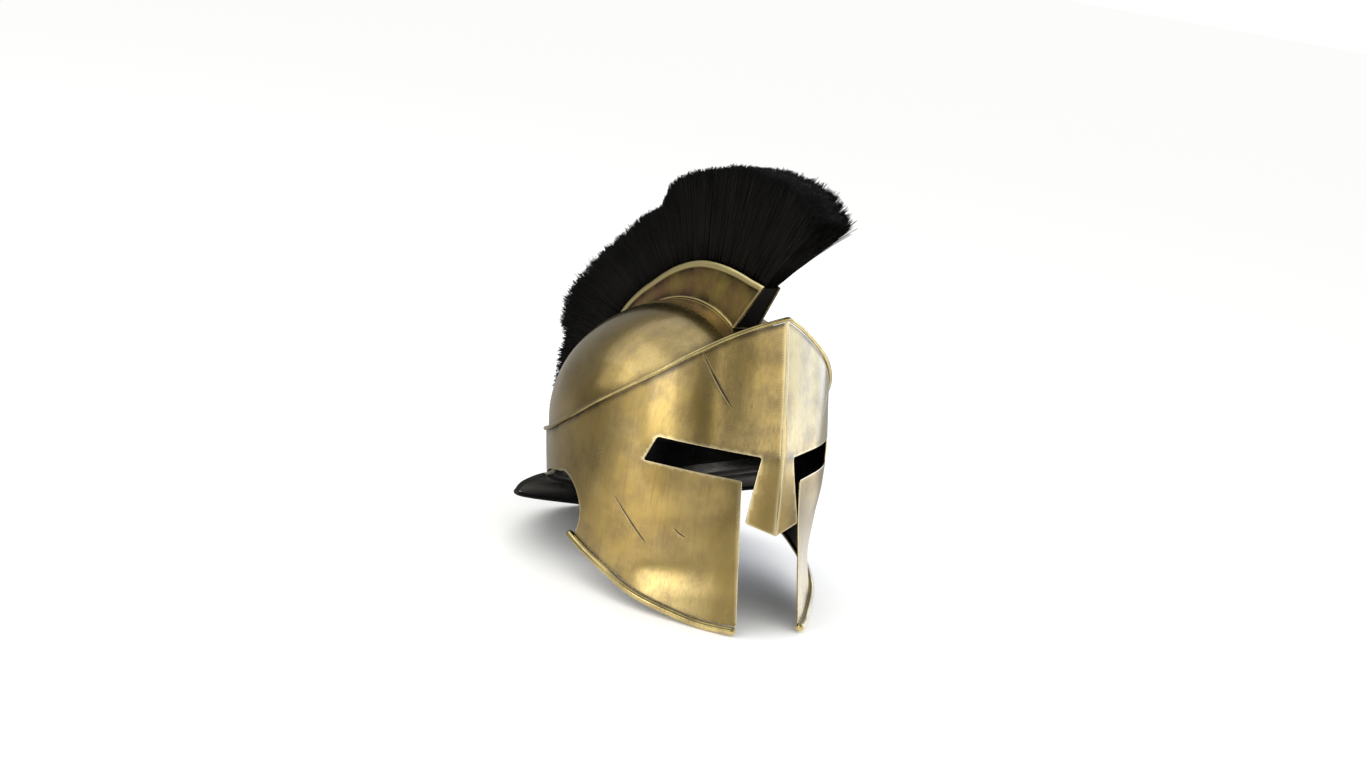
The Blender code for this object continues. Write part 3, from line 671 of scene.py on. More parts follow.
def mask_wear(angle, height, depth, on_edge):
    """How bright and how dark, from 0 to 1, a place of the mask's outer face is painted: painted highlights
    along the crease and on free edges, painted shade under the brow bead and over the cheek bead, and
    brightening and darkening at cuts and round the nasal's root.
    """
    below_brow = mask_top(angle) - height
    above_bead = height - cheek_sheet_height(angle)
    # painted highlight along the crease, and brightening on the lips of cuts
    bright = max(min(LIP_MOST_BRIGHT, max(0.0, -depth) * LIP_GAIN), fading(*CREASE_PAINTED_HIGHLIGHT, angle * UNROLL))
    # painted shade under the brow bead, and darkening in the beds of cuts
    darkening = max(fading(*BROW_PAINTED_SHADE, below_brow), min(1.0, max(0.0, depth) * BED_GAIN))
    # painted shade just above the cheek bead
    if height < CHEEK_SHADE_TOP * FACE_HEIGHT and CHEEK_SHADE_ANGLES[0] < angle < CHEEK_SHADE_ANGLES[1]:
        darkening = max(darkening, fading(*CHEEK_PAINTED_SHADE, above_bead))
    # darker round the nasal's root
    if angle < ROOT_DARKENING_ANGLE:
        darkening = max(darkening, fading(*ROOT_DARKENING, abs(height - EYE_INNER_TOP[1] * FACE_HEIGHT)))
    clear = below_brow > BROW_BEAD_CLEAR and above_bead > CHEEK_BEAD_CLEAR
    # painted highlight along free edges
    if on_edge and clear and 0.0 < angle < FREE_EDGE_END:
        bright = max(bright, FREE_EDGE_HIGHLIGHT)
    return bright, darkening


def mirrored(point, side):
    """The point on its side of the helmet. One on the middle plane stays exactly there."""
    if abs(point.x) < ON_MIDDLE:
        point.x = 0.0
    return Vector((point.x * side, point.y, point.z))


def rim_points(place, out):
    """Points round the sheet's edge at a place of the drawn-in outline, and whether each is inside."""
    angle = place.x / UNROLL
    base = on_shell(angle, place.y)
    beyond = place + out * RIM_LOOK
    away = (on_shell(beyond.x / UNROLL, beyond.y) - base).normalized()
    normal = shell_normal(min(180.0 - SEAM_NORMAL_OFF, max(SEAM_NORMAL_OFF, angle)), place.y)
    if at_seam(place):
        base.x = away.x = normal.x = 0.0
    points = []
    for turn, inside in RIM_TURNS:
        t = math.radians(turn)
        sink = EDGE_ROUND * (1 - math.cos(t))
        if inside:
            sink = WALL - sink
        points.append((base + away * EDGE_ROUND * math.sin(t) - normal * sink, inside))
    return points


def face_mask(materials):
    """The mask as a sheet with rounded edges: brass outside, black enamel inside, old cuts sunk in it."""
    outline = mask_outline()
    inset_line, outwards = drawn_in(outline, EDGE_ROUND)
    count = len(inset_line)
    grid = mask_grid(inset_line)
    mesh = bmesh.new()
    wear_and_highlight, dirt_and_shade = sheet_marks(mesh)
    for side in (1, -1):
        cuts = cut_points(side)
        keep = np.ones(len(grid), bool)
        for spot, _ in cuts:
            keep &= np.hypot(grid[:, 0] - spot.x, grid[:, 1] - spot.y) > CUT_STEP
        flat = inset_line + [spot for spot, _ in cuts] + [Vector(p) for p in grid[keep]]
        sunk = [0.0] * count + [depth for _, depth in cuts] + [0.0] * int(keep.sum())
        made = delaunay_2d_cdt(flat, [], [list(range(count))], 1, SAME_FLAT_POINT)
        vertices, triangles, sources = made[0], made[2], made[3]

        outer, inner, edge_vertex = [], [], {}
        for k, (v, source) in enumerate(zip(vertices, sources)):
            angle = min(180.0, max(0.0, v.x / UNROLL))
            depth = sunk[source[0]] if source else 0.0
            outer.append(mesh.verts.new(mirrored(on_shell(angle, v.y, depth), side)))
            inner.append(mesh.verts.new(mirrored(on_shell(angle, v.y, WALL), side)))
            on_edge = bool(source) and source[0] < count
            if on_edge:
                edge_vertex[source[0]] = k
            # painted highlight and painted shade for the brass, with brightening and darkening at cuts and
            # the nasal's root
            outer[k][wear_and_highlight], outer[k][dirt_and_shade] = mask_wear(angle, v.y, depth, on_edge)
        for triangle in triangles:
            for slot, sheet in enumerate((outer, inner)):
                mesh.faces.new([sheet[k] for k in triangle]).material_index = slot

        rims = []
        for i, (place, out) in enumerate(zip(inset_line, outwards)):
            ring = [outer[edge_vertex[i]]]
            for point, inside in rim_points(place, out):
                ring.append(mesh.verts.new(mirrored(point, side)))
                # the outer half of the edge's round gets a painted highlight
                ring[-1][wear_and_highlight] = 0.0 if inside else RIM_HIGHLIGHT
            rims.append(ring + [inner[edge_vertex[i]]])
        for i, ring in enumerate(rims):
            j = (i + 1) % count
            if at_seam(outline[i]) and at_seam(outline[j]):
                continue
            for k in range(len(ring) - 1):
                face = mesh.faces.new((ring[k], rims[j][k], rims[j][k + 1], ring[k + 1]))
                face.material_index = 1 if k >= RIM_ENAMEL_FROM else 0
            for k in (0, -1):
                mesh.edges.get((ring[k], rims[j][k])).smooth = False
    loose = [v for v in mesh.verts if not v.link_faces]
    bmesh.ops.delete(mesh, geom=loose, context="VERTS")
    return finished("face_mask_sheet", mesh, materials, ("face_mask",))


# Beads


def shell_bead(angles, height_at, up, diameter, proud, closed):
    """Mesh of a bead along an edge of the shell, above it or below it."""
    edge = [on_shell(a, height_at(abs(a))) for a in angles]
    outs = [shell_normal(a, height_at(abs(a))) for a in angles]
    away = [Vector((0.0, 0.0, up))] * len(angles)
    mesh = bmesh.new()
    round_rod(mesh, edge_centres(edge, outs, away, diameter, proud, closed), outs, diameter, closed)
    return mesh


def brow_bead(material):
    angles = stations(-180.0, 180.0, EDGE_STEP)[:-1]
    mesh = shell_bead(angles, mask_top, 1.0, BROW_BEAD, BROW_BEAD_OUT, True)
    return finished("brow_bead_roll", mesh, [material], ("brow_bead",))


def cheek_bead(name, node, side, material):
    first = CHEEK_EDGE[0][0] + CHEEK_BEAD_SHORT_AT_TIP
    last = CHEEK_EDGE[-1][0] - CHEEK_BEAD_SHORT_AT_NOTCH
    angles = [side * a for a in stations(first, last, EDGE_STEP)]
    mesh = shell_bead(angles, cheek_sheet_height, -1.0, CHEEK_BEAD, CHEEK_BEAD_OUT, False)
    return finished(name, mesh, [material], (node,))


# Neck guard

# Painted shade on the guard's outer face where it tucks under the wall, by rows from its top
GUARD_PAINTED_SHADE = (1.0, 2.0, 12.0)
FILLET_STEP = 0.125
FLARE_STEP = 0.05
RIM_SAG = 0.01


def guard_profile(angle):
    """Section of the neck guard, from the top of its lap inside the wall to its rim: out and up."""
    seat = guard_seat(angle)
    start = mask_radius(angle, seat, WALL + LAP_GAP)
    lap_foot = seat + WALL
    points = [(start, lap_foot + LAP), (start, lap_foot + LAP / 2), (start, lap_foot)]
    bend_end = math.pi / 2 - math.atan(GUARD_FIRST_SLOPE)
    for share in stations(0.0, 1.0, FILLET_STEP)[1:]:
        t = bend_end * share
        out = start + GUARD_FILLET - GUARD_FILLET * math.cos(t)
        points.append((out, lap_foot - GUARD_FILLET * math.sin(t)))
    out, up = points[-1]
    full = oval_radius(angle, GUARD_HALF_WIDTH, 1.0, GUARD_BACK) - NECK_RIM / 2 - out
    corner = min(1.0, (abs(angle) - GUARD_START) / GUARD_CORNER)
    reach = max(GUARD_LEAST_REACH, math.sqrt(1 - (1 - corner) ** 2))
    for share in stations(0.0, 1.0, FLARE_STEP)[1:]:
        t = share * reach * GUARD_FLARE
        drop = GUARD_FIRST_SLOPE * t + (1 - GUARD_FIRST_SLOPE) * (1 - math.sqrt(1 - t * t))
        points.append((out + full * t, up - GUARD_DROP * drop))
    return points


def guard_sheets():
    """Outer and inner points of the guard's sections, closer together round its front corners."""
    half = [GUARD_START + GUARD_CORNER * share for share in GUARD_CORNER_STEPS]
    half += stations(GUARD_START + GUARD_CORNER, 180.0, GUARD_STEP)[:-1]
    sheets = []
    for angle in [-a for a in half] + [180.0] + half[::-1]:
        outer = guard_profile(angle)
        sheets.append([[turned(angle, *p) for p in face] for face in (outer, walled(outer))])
    return sheets


def neck_guard(materials):
    mesh = bmesh.new()
    _, dirt_and_shade = sheet_marks(mesh)
    sheets = guard_sheets()
    outer, inner = ([[mesh.verts.new(p) for p in sheet[slot]] for sheet in sheets] for slot in (0, 1))
    rows = len(outer[0])
    # painted shade on the top rows of the outer face, under the wall
    for column in outer:
        for k, vert in enumerate(column):
            vert[dirt_and_shade] = fading(*GUARD_PAINTED_SHADE, k)
    for slot, columns in enumerate((outer, inner)):
        for a, b in zip(columns, columns[1:]):
            for k in range(rows - 1):
                mesh.faces.new((a[k], b[k], b[k + 1], a[k + 1])).material_index = slot
    rims = []
    for a, b, c, d in zip(outer, outer[1:], inner[1:], inner):
        rims += [(a[k], b[k], c[k], d[k]) for k in (0, rows - 1)]
    for a, b in ((outer[0], inner[0]), (outer[-1], inner[-1])):
        rims += [(a[k], a[k + 1], b[k + 1], b[k]) for k in range(rows - 1)]
    for rim in rims:
        mesh.faces.new(rim).material_index = 1
        for pair in (rim[:2], rim[2:]):
            mesh.edges.get(pair).smooth = False
    return finished("neck_guard_sheet", mesh, materials, ("neck_guard",))


def neck_rim(material):
    sheets = guard_sheets()
    edge = [(outer[-1] + inner[-1]) / 2 for outer, inner in sheets]
    outs = [(outer[-1] - inner[-1]).normalized() for outer, inner in sheets]
    sag = Vector((0.0, 0.0, -RIM_SAG))
    away = [(outer[-1] - outer[-2]).normalized() + sag for outer, _ in sheets]
    mesh = bmesh.new()
    round_rod(mesh, edge_centres(edge, outs, away, NECK_RIM, 0.0, False), outs, NECK_RIM, False)
    return finished("neck_rim_roll", mesh, [material], ("neck_rim",))


# Dome

# Dirt in the valley between the dome and the brow: strength, and heights over the dirt's foot
VALLEY_DIRT = (1.0, 0.0, 0.014)
VALLEY_DIRT_FOOT = 0.003


def dome_profile(angle):
    """Section of the dome from just under its crown to its lower edge in the mask: out and up."""
    base = oval_radius(angle, DOME_HALF_WIDTH, DOME_FRONT, DOME_BACK)
    edge_top = mask_top(angle) - VALLEY_BELOW_EDGE
    lip = mask_radius(angle, edge_top, WALL + LAP_GAP)
    edge_share = min(1.0, max(0.0, (edge_top - DOME_BASE) / DOME_RISE))
    ledge = max(0.0, lip - base * math.sqrt(1 - edge_share * edge_share))
    valley = edge_top - VALLEY_SLOPE * ledge
    last = math.acos(min(1.0, max(0.0, (valley - DOME_BASE) / DOME_RISE)))
    points = []
    for i in range(1, DOME_ROWS + 1):
        t = last * i / DOME_ROWS
        points.append((base * math.sin(t), DOME_BASE + DOME_RISE * math.cos(t)))
    out, up = points[-1]
    for i in range(1, VALLEY_ROWS + 1):
        share = i / (VALLEY_ROWS + 1)
        lift = (eased(0.0, 1.0, share) + share) / 2
        points.append((out + (lip - out) * share, up + (edge_top - up) * lift - DOME_LIP_DROP))
    points.append((lip, min(edge_top, points[-1][1]) - DOME_LIP_ROUND))
    low = edge_top - LAP
    points.append((mask_radius(angle, low, WALL + LAP_GAP), low))
    return points


def skull_dome(materials):
    mesh = bmesh.new()
    _, dirt_and_shade = sheet_marks(mesh)
    angles = [a if a <= 180.0 else a - 360.0 for a in stations(0.0, 360.0, DOME_STEP)[:-1]]
    profiles = [dome_profile(a) for a in angles]
    count = len(angles)
    layers = []
    for slot, crown in enumerate((DOME_RISE, DOME_RISE - WALL)):
        columns = []
        for a, profile in zip(angles, profiles):
            section = walled(profile) if slot else profile
            dirt_foot = mask_top(a) - VALLEY_DIRT_FOOT
            column = [mesh.verts.new(turned(a, *p)) for p in section]
            for vert, (_, up) in zip(column, section):
                vert[dirt_and_shade] = fading(*VALLEY_DIRT, up - dirt_foot)
            columns.append(column)
        pole = mesh.verts.new((0.0, 0.0, DOME_BASE + crown))
        for i in range(count):
            a, b = columns[i], columns[(i + 1) % count]
            mesh.faces.new((pole, a[0], b[0])).material_index = slot
            for k in range(len(a) - 1):
                mesh.faces.new((a[k], a[k + 1], b[k + 1], b[k])).material_index = slot
        layers.append(columns)
    outer, inner = layers
    for i in range(count):
        j = (i + 1) % count
        mesh.faces.new((outer[i][-1], outer[j][-1], inner[j][-1], inner[i][-1])).material_index = 1
    halves = ("skull_dome_left", "skull_dome_right")
    return finished("skull_dome_sheet", mesh, materials, halves)


# Crest

# Brightening and darkening, from 0 to 1 each
HIDDEN = (0.0, 1.0)
FRONT_END = (0.0, 0.9)
FRONT_BORDER = (0.7, 0.0)


def over_dome(angle, across, lift):
    """Point over the dome's middle line, a lift above the dome, some way across it."""
    a = math.radians(angle)
    length = DOME_FRONT if angle < 0 else DOME_BACK
    shrink = math.sqrt(1 - (across / DOME_HALF_WIDTH) ** 2)
    r = shrink / math.hypot(math.sin(a) / length, math.cos(a) / DOME_RISE) + lift
    return DOME_CENTRE + Vector((across, r * math.sin(a), r * math.cos(a)))


def crest_height(angle):
    return blend_rows(CREST_LINE, angle)[0] * CREST_HEIGHT


def crest_marks(height, sunk, soft):
    """Rows of the trough's outer face from its foot to its top: lift, depth under the border, brightening,
    darkening.
    """
    border = min(CREST_BORDER, height * 0.3)
    thin = min(CREST_FOOT_BORDER, height * 0.12)
    bulge = min(CREST_BULGE, height * 0.05)
    panel = GAP + thin * 2.4
    panel_rise = height - border * 1.7 - thin * 2.4
    return (
        (GAP, 0.0003 + soft, 0.6, 0.0),
        (GAP + thin * 0.3, soft, 1.0, 0.0),
        (GAP + thin * 0.8, soft, 0.9, 0.0),
        (GAP + thin * 1.1, 0.15 * sunk, 0.2, 0.5),
        (GAP + thin * 1.5, 0.9 * sunk, 0.0, 1.0),
        (panel, sunk, 0.0, 0.8),
        (panel + panel_rise * 0.33, sunk * 0.85, 0.0, 0.2),
        (panel + panel_rise * 0.66, sunk * 0.85, 0.0, 0.15),
        (height - border * 1.5, sunk, 0.0, 0.7),
        (height - border * 1.15, sunk, 0.0, 1.0),
        (height - border, 0.3 * sunk, 0.1, 0.5),
        (height - border * 0.9, -0.3 * bulge + soft, 0.6, 0.0),
        (height - border * 0.7, -0.8 * bulge + soft, 0.7, 0.0),
        (height - border * 0.45, -bulge + soft, 0.8, 0.0),
        (height - border * 0.2, -0.7 * bulge + soft, 0.8, 0.0),
        (height - border * 0.05, 0.0002 + soft, 0.8, 0.0),
        (height, 0.0005, 0.8, 0.0),
    )


def crest_box(materials):
    """Trough with sloping sides, each with a panel sunk between a round top border and a thin foot."""
    first, last = CREST_LINE[0][0], CREST_LINE[-1][0]
    round_end = first + CREST_END_ROUND
    panel_first, panel_last = first + CREST_END_BORDER, last - 2 * CREST_END_BORDER
    angles = [first, round_end, panel_first - 0.5, panel_first]
    angles += stations(panel_first + 0.3, panel_last - 0.3, CREST_STEP) + [panel_last, last]
    top, foot = CREST_TOP_WIDTH / 2, CREST_FOOT_WIDTH / 2
    floor = GAP + WALL
    mesh = bmesh.new()
    wear_and_highlight, dirt_and_shade = sheet_marks(mesh)
    sections, wears = [], []
    for a in angles:
        height = crest_height(a)
        sunk = CREST_PANEL_DEPTH if panel_first < a < panel_last else 0.0
        marks = crest_marks(height, sunk, 0.0004 if a == first else 0.0)
        right = [(foot + (top - foot) * lift / height - depth, lift) for lift, depth, _, _ in marks]
        right += [(top - WALL + 0.0003, height), (top - WALL, height - 0.0006)]
        right.append((foot + (top - foot) * floor / height - WALL, floor))
        section = [over_dome(a, x, lift) for x, lift in right] + [over_dome(a, 0.0, floor)]
        section += [over_dome(a, -x, lift) for x, lift in reversed(right)] + [over_dome(a, 0.0, GAP)]
        sections.append(section)
        worn = [mark[2:] for mark in marks] + [(0.5, 0.0), (0.2, 0.6), HIDDEN]
        worn = worn + [HIDDEN] + worn[::-1] + [HIDDEN]
        if a <= round_end:
            worn = [FRONT_END if a == first else FRONT_BORDER] * len(worn)
        wears.append(worn)
    for ring, worn in zip(loft(mesh, sections, False), wears):
        for vert, marks in zip(ring, worn):
            vert[wear_and_highlight], vert[dirt_and_shade] = marks
    return finished("crest_box_trough", mesh, materials, ("crest_box",))


def core_top(angle):
    """Lift of the bar's top over the dome: below the trough's edge, then a low strip down the back."""
    return max(crest_height(angle) - CORE_BELOW_EDGE, CORE_STRIP_HEIGHT)


def crest_core(material):
    first, last = CREST_LINE[0][0] + 0.3, CREST_LINE[-1][0]
    boxed = [(a, True) for a in stations(first, last, CORE_STEP)]
    bare = [(a, False) for a in stations(last + 1.0, CORE_END, CORE_STEP)]
    sections = []
    for a, in_box in boxed + bare:
        lift = core_top(a)
        floor = 2 * GAP + WALL if in_box else GAP
        foot = CREST_FOOT_WIDTH / 2 - WALL - 2 * GAP
        top = CREST_TOP_WIDTH / 2 - WALL - GAP
        if a > CORE_STRIP_START:
            foot = CORE_STRIP_WIDTH / 2
            top = CORE_STRIP_WIDTH / 2 - GAP
        if in_box:
            foot = foot + (top - foot) * floor / max(crest_height(a), lift)
        half = [(foot, floor), ((foot + top) / 2, (floor + lift) / 2), (top, lift - CORE_ROUND)]
        half.append((top - CORE_ROUND, lift))
        section = half + [(-x, h) for x, h in reversed(half)] + [(0.0, floor)]
        sections.append([over_dome(a, x, h) for x, h in section])
    mesh = bmesh.new()
    loft(mesh, sections, False)
    piece = finished("crest_core_bar", mesh, [material], ("crest_core",))
    piece.data.set_sharp_from_angle(angle=math.radians(40))
    return piece


# Nodes


def tint(code):
    """Linear colour of an sRGB hex value."""
    parts = [int(code[i:i + 2], 16) / 255 for i in (1, 3, 5)]
    linear = [c / 12.92 if c <= 0.04045 else ((c + 0.055) / 1.055) ** 2.4 for c in parts]
    return (*linear, 1.0)


def add(tree, kind, inputs=None, **settings):
    """Add a node with its settings. Inputs are given by name or place, as a value or a socket to link."""
    made = tree.nodes.new(kind)
    for name, value in settings.items():
        setattr(made, name, value)
    for key, value in (inputs or {}).items():
        if isinstance(value, bpy.types.NodeSocket):
            tree.links.new(value, made.inputs[key])
        else:
            made.inputs[key].default_value = value
    return made


# Plume

# The plume's inside, built here in place of the imported plume, stays under the loose bristles: side to side,
# and short of their tips
BODY_INSIDE = 0.0016
BODY_RIDGE = 0.0007
BODY_LENGTH = 0.955
BODY_TIP_WIDTH = 0.9
BODY_CROWN = 0.002
BRISTLE_CURVE = 2.2
SPIKE_SIDES = 3


def bristle_line(angle):
    """Root and tip of the bristles at a root angle, on the middle plane."""
    tip_angle, share = blend_rows(PLUME_LINE, angle)
    t = math.radians(tip_angle)
    reach = share * PLUME_REACH
    root = over_dome(angle, 0.0, core_top(angle) + GAP)
    return root, DOME_CENTRE + Vector((0.0, reach * math.sin(t), reach * math.cos(t)))


def plume_half_width(rise):
    """Half the plume's thickness at a share of the way from root to tip."""
    spread = blend_rows(PLUME_SPREAD, rise)[0]
    return (PLUME_ROOT_WIDTH + (PLUME_TIP_WIDTH - PLUME_ROOT_WIDTH) * spread) / 2


def plume_body(material):
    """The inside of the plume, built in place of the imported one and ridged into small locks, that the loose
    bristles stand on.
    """
    sections = []
    for i, a in enumerate(stations(PLUME_LINE[0][0] + 0.3, PLUME_LINE[-1][0] - 0.2, PLUME_STEP)):
        root, tip = bristle_line(a)
        ridge = math.sin(i * 1.9) * 0.5 + math.sin(i * 0.83 + 1.0) * 0.5
        cut_back = BODY_LENGTH + 0.006 * math.sin(i * 2.7) + 0.006 * math.sin(i * 0.61)
        half = []
        for rise in stations(0.0, 1.0, 0.1):
            width = plume_half_width(rise) - BODY_INSIDE + BODY_RIDGE * ridge * min(1.0, rise * 4)
            if rise == 1.0:
                width *= BODY_TIP_WIDTH
            spot = root.lerp(tip, rise * cut_back)
            half.append((width, spot.y, spot.z))
        crown = spot + (tip - root).normalized() * BODY_CROWN
        row = half + [(0.0, crown.y, crown.z)] + [(-x, y, z) for x, y, z in reversed(half)]
        sections.append(row)
    mesh = bmesh.new()
    tone = mesh.verts.layers.float.new("tone")
    for i, ring in enumerate(loft(mesh, sections, False)):
        for vert in ring:
            vert[tone] = 0.25 + 0.2 * math.sin(i * 1.9)
    return finished("plume_body", mesh, [material], ("plume",))


def bristle_tree():
    """A bristle on each point: a thin tapered spike set along the point's reach and swayed at its tip."""
    tree = bpy.data.node_groups.new("bristles on their roots", "GeometryNodeTree")
    given_sizes = (("Geometry", "Geometry"), ("Bristle Width", "Float"), ("Tip Share", "Float"),
                   ("Segments", "Int"), ("Material", "Material"))
    for label, kind in given_sizes:
        tree.interface.new_socket(label, in_out="INPUT", socket_type="NodeSocket" + kind)
    tree.interface.new_socket("Geometry", in_out="OUTPUT", socket_type="NodeSocketGeometry")
    given = add(tree, "NodeGroupInput").outputs
    named = (("reach", "FLOAT_VECTOR"), ("along", "FLOAT"), ("sway", "FLOAT_VECTOR"))
    reach, along, sway = (
        add(tree, "GeometryNodeInputNamedAttribute", {"Name": label}, data_type=kind).outputs["Attribute"]
        for label, kind in named)
    spike = add(tree, "GeometryNodeMeshCone", {
        "Vertices": SPIKE_SIDES, "Side Segments": given["Segments"], "Radius Top": given["Tip Share"],
        "Radius Bottom": 0.5, "Depth": 1.0}, fill_type="NGON")
    height = add(tree, "ShaderNodeSeparateXYZ", {0: add(tree, "GeometryNodeInputPosition").outputs[0]})
    marked = add(tree, "GeometryNodeStoreNamedAttribute", {
        "Geometry": spike.outputs["Mesh"], "Name": "along", "Value": height.outputs["Z"]},
        data_type="FLOAT", domain="POINT")
    length = add(tree, "ShaderNodeVectorMath", {0: reach}, operation="LENGTH")
    size = add(tree, "ShaderNodeCombineXYZ", {
        "X": given["Bristle Width"], "Y": given["Bristle Width"], "Z": length.outputs["Value"]})
    turn = add(tree, "FunctionNodeAlignRotationToVector", {"Vector": reach}, axis="Z")
    roots = add(tree, "GeometryNodeMeshToPoints", {"Mesh": given["Geometry"]})
    placed = add(tree, "GeometryNodeInstanceOnPoints", {
        "Points": roots.outputs["Points"], "Instance": marked.outputs["Geometry"],
        "Rotation": turn.outputs["Rotation"], "Scale": size.outputs["Vector"]})
    real = add(tree, "GeometryNodeRealizeInstances", {"Geometry": placed.outputs["Instances"]})
    bend = add(tree, "ShaderNodeMath", {0: along, 1: BRISTLE_CURVE}, operation="POWER")
    shift = add(tree, "ShaderNodeVectorMath", {0: sway, "Scale": bend.outputs[0]}, operation="SCALE")
    bent = add(tree, "GeometryNodeSetPosition", {
        "Geometry": real.outputs["Geometry"], "Offset": shift.outputs["Vector"]})
    dyed = add(tree, "GeometryNodeSetMaterial", {
        "Geometry": bent.outputs["Geometry"], "Material": given["Material"]})
    add(tree, "NodeGroupOutput", {"Geometry": dyed.outputs["Geometry"]})
    return tree


def grown(name, strands_drawn, tree, segments, material):
    """Grow a bristle on each root with the tree, and keep the result as a plain mesh."""
    roots, reaches, sways, tones = strands_drawn
    data = bpy.data.meshes.new(name)
    data.from_pydata(roots, [], [])
    for label, values in (("reach", reaches), ("sway", sways)):
        layer = data.attributes.new(label, "FLOAT_VECTOR", "POINT")
        layer.data.foreach_set("vector", np.array(values, np.float32).ravel())
    layer = data.attributes.new("tone", "FLOAT", "POINT")
    layer.data.foreach_set("value", np.array(tones, np.float32))
    holder = bpy.data.objects.new(name + "_roots", data)
    bpy.context.scene.collection.objects.link(holder)
    growth = holder.modifiers.new("bristles", "NODES")
    growth.node_group = tree
    sizes = {"Bristle Width": BRISTLE_WIDTH, "Tip Share": BRISTLE_TIP_SHARE, "Segments": segments,
             "Material": material}
    for item in tree.interface.items_tree:
        if item.in_out == "INPUT" and item.name in sizes:
            growth[item.identifier] = sizes[item.name]
    bpy.context.view_layer.update()
    result = holder.evaluated_get(bpy.context.evaluated_depsgraph_get())
    grown_mesh = bpy.data.meshes.new_from_object(result)
    bpy.data.objects.remove(holder)
    grown_mesh.name = name
    for label in ("along", "sway", "reach"):
        if label in grown_mesh.attributes:
            grown_mesh.attributes.remove(grown_mesh.attributes[label])
    grown_mesh.materials.clear()
    return dressed(name, grown_mesh, [material], ("plume",))


def raggedness(angle):
    """How unevenly the bristles are trimmed: little over the top, more at the front tip and the back."""
    front = fading(1.1, -50.0, -42.0, angle)
    back = 1.1 * eased(5.0, 28.0, angle)
    tail = 0.5 * eased(45.0, 58.0, angle)
    return 0.6 + front + back + tail


def strands(dice, count, angle_of, side_of, starts, ends):
    """Roots, reaches, sways and tones of loose bristles, drawn together into small locks at their tips."""
    first, last = PLUME_LINE[0][0], PLUME_LINE[-1][0]
    roots, reaches, sways, tones = [], [], [], []
    for _ in range(count):
        angle = angle_of()
        lock = math.floor(angle / LOCK_STEP)
        ragged = raggedness(angle)
        to_lock = (lock + 0.5) * LOCK_STEP - angle
        tip_at = angle + to_lock * 0.3 * ragged + dice.normal() * 0.3
        root = bristle_line(angle)[0]
        tip = bristle_line(min(last, max(first, tip_at)))[1]
        start = dice.uniform(*starts)
        waves = 0.007 * math.sin(lock * 2.3) + 0.006 * math.sin(lock * 5.1 + 1)
        trim = (waves + 0.003 * dice.normal()) * ragged
        end = dice.uniform(*ends) + trim
        side = side_of()
        begin, finish = root.lerp(tip, start), root.lerp(tip, end)
        begin.x = side * plume_half_width(start) * 0.97
        finish.x = side * plume_half_width(min(1.0, end)) * 0.99
        reach = finish - begin
        loose = 0.028 * reach.length * min(ragged, 1.7)
        sway = Vector(np.clip(dice.normal(size=3), -2.0, 2.0) * (0.4 * loose, loose, loose))
        if (SET_DOWN @ (finish + sway)).z < BRISTLE_LEAST_HEIGHT:
            continue
        roots.append(tuple(begin))
        reaches.append(reach)
        sways.append(tuple(sway))
        tones.append(dice.rand())
    return roots, reaches, sways, tones


def plume(material):
    """Bristles over both faces of the plume, and a thicket of trimmed ends along its outer edge."""
    plume_body(material)
    tree = bristle_tree()
    dice = np.random.RandomState(BRISTLE_SEED)
    first, last = PLUME_LINE[0][0], PLUME_LINE[-1][0]

    def anywhere():
        return dice.uniform(first, last)

    def front_edge():
        return first + 1.5 * dice.rand() ** 2

    def across():
        return dice.uniform(-1.0, 1.0)

    rows = (
        # name, count, where along the plume, where across it, starts, ends, segments
        ("plume_bristles_right", BRISTLES_A_SIDE, anywhere, lambda: -1.0, (0.0, 0.5), (0.93, 0.995), 4),
        ("plume_bristles_left", BRISTLES_A_SIDE, anywhere, lambda: 1.0, (0.0, 0.5), (0.93, 0.995), 4),
        ("plume_bristle_tips", BRISTLE_TIPS, anywhere, across, (0.72, 0.84), (0.965, 1.0), 2),
        ("plume_bristles_front", BRISTLES_IN_FRONT, front_edge, across, (0.0, 0.4), (0.85, 0.99), 4),
    )
    for name, count, angle_of, side_of, starts, ends, segments in rows:
        grown(name, strands(dice, count, angle_of, side_of, starts, ends), tree, segments, material)


# Finishes


def new_material(name):
    material = bpy.data.materials.new(name)
    material.use_nodes = True
    tree = material.node_tree
    tree.nodes.clear()
    shader = add(tree, "ShaderNodeBsdfPrincipled")
    add(tree, "ShaderNodeOutputMaterial", {"Surface": shader.outputs["BSDF"]})
    return material, tree, shader


def joined(tree, shader, sockets, **values):
    """Link sockets to a shader's inputs, and set the others."""
    for label, socket in sockets.items():
        tree.links.new(socket, shader.inputs[label])
    for label, value in values.items():
        shader.inputs[label.replace("_", " ")].default_value = value


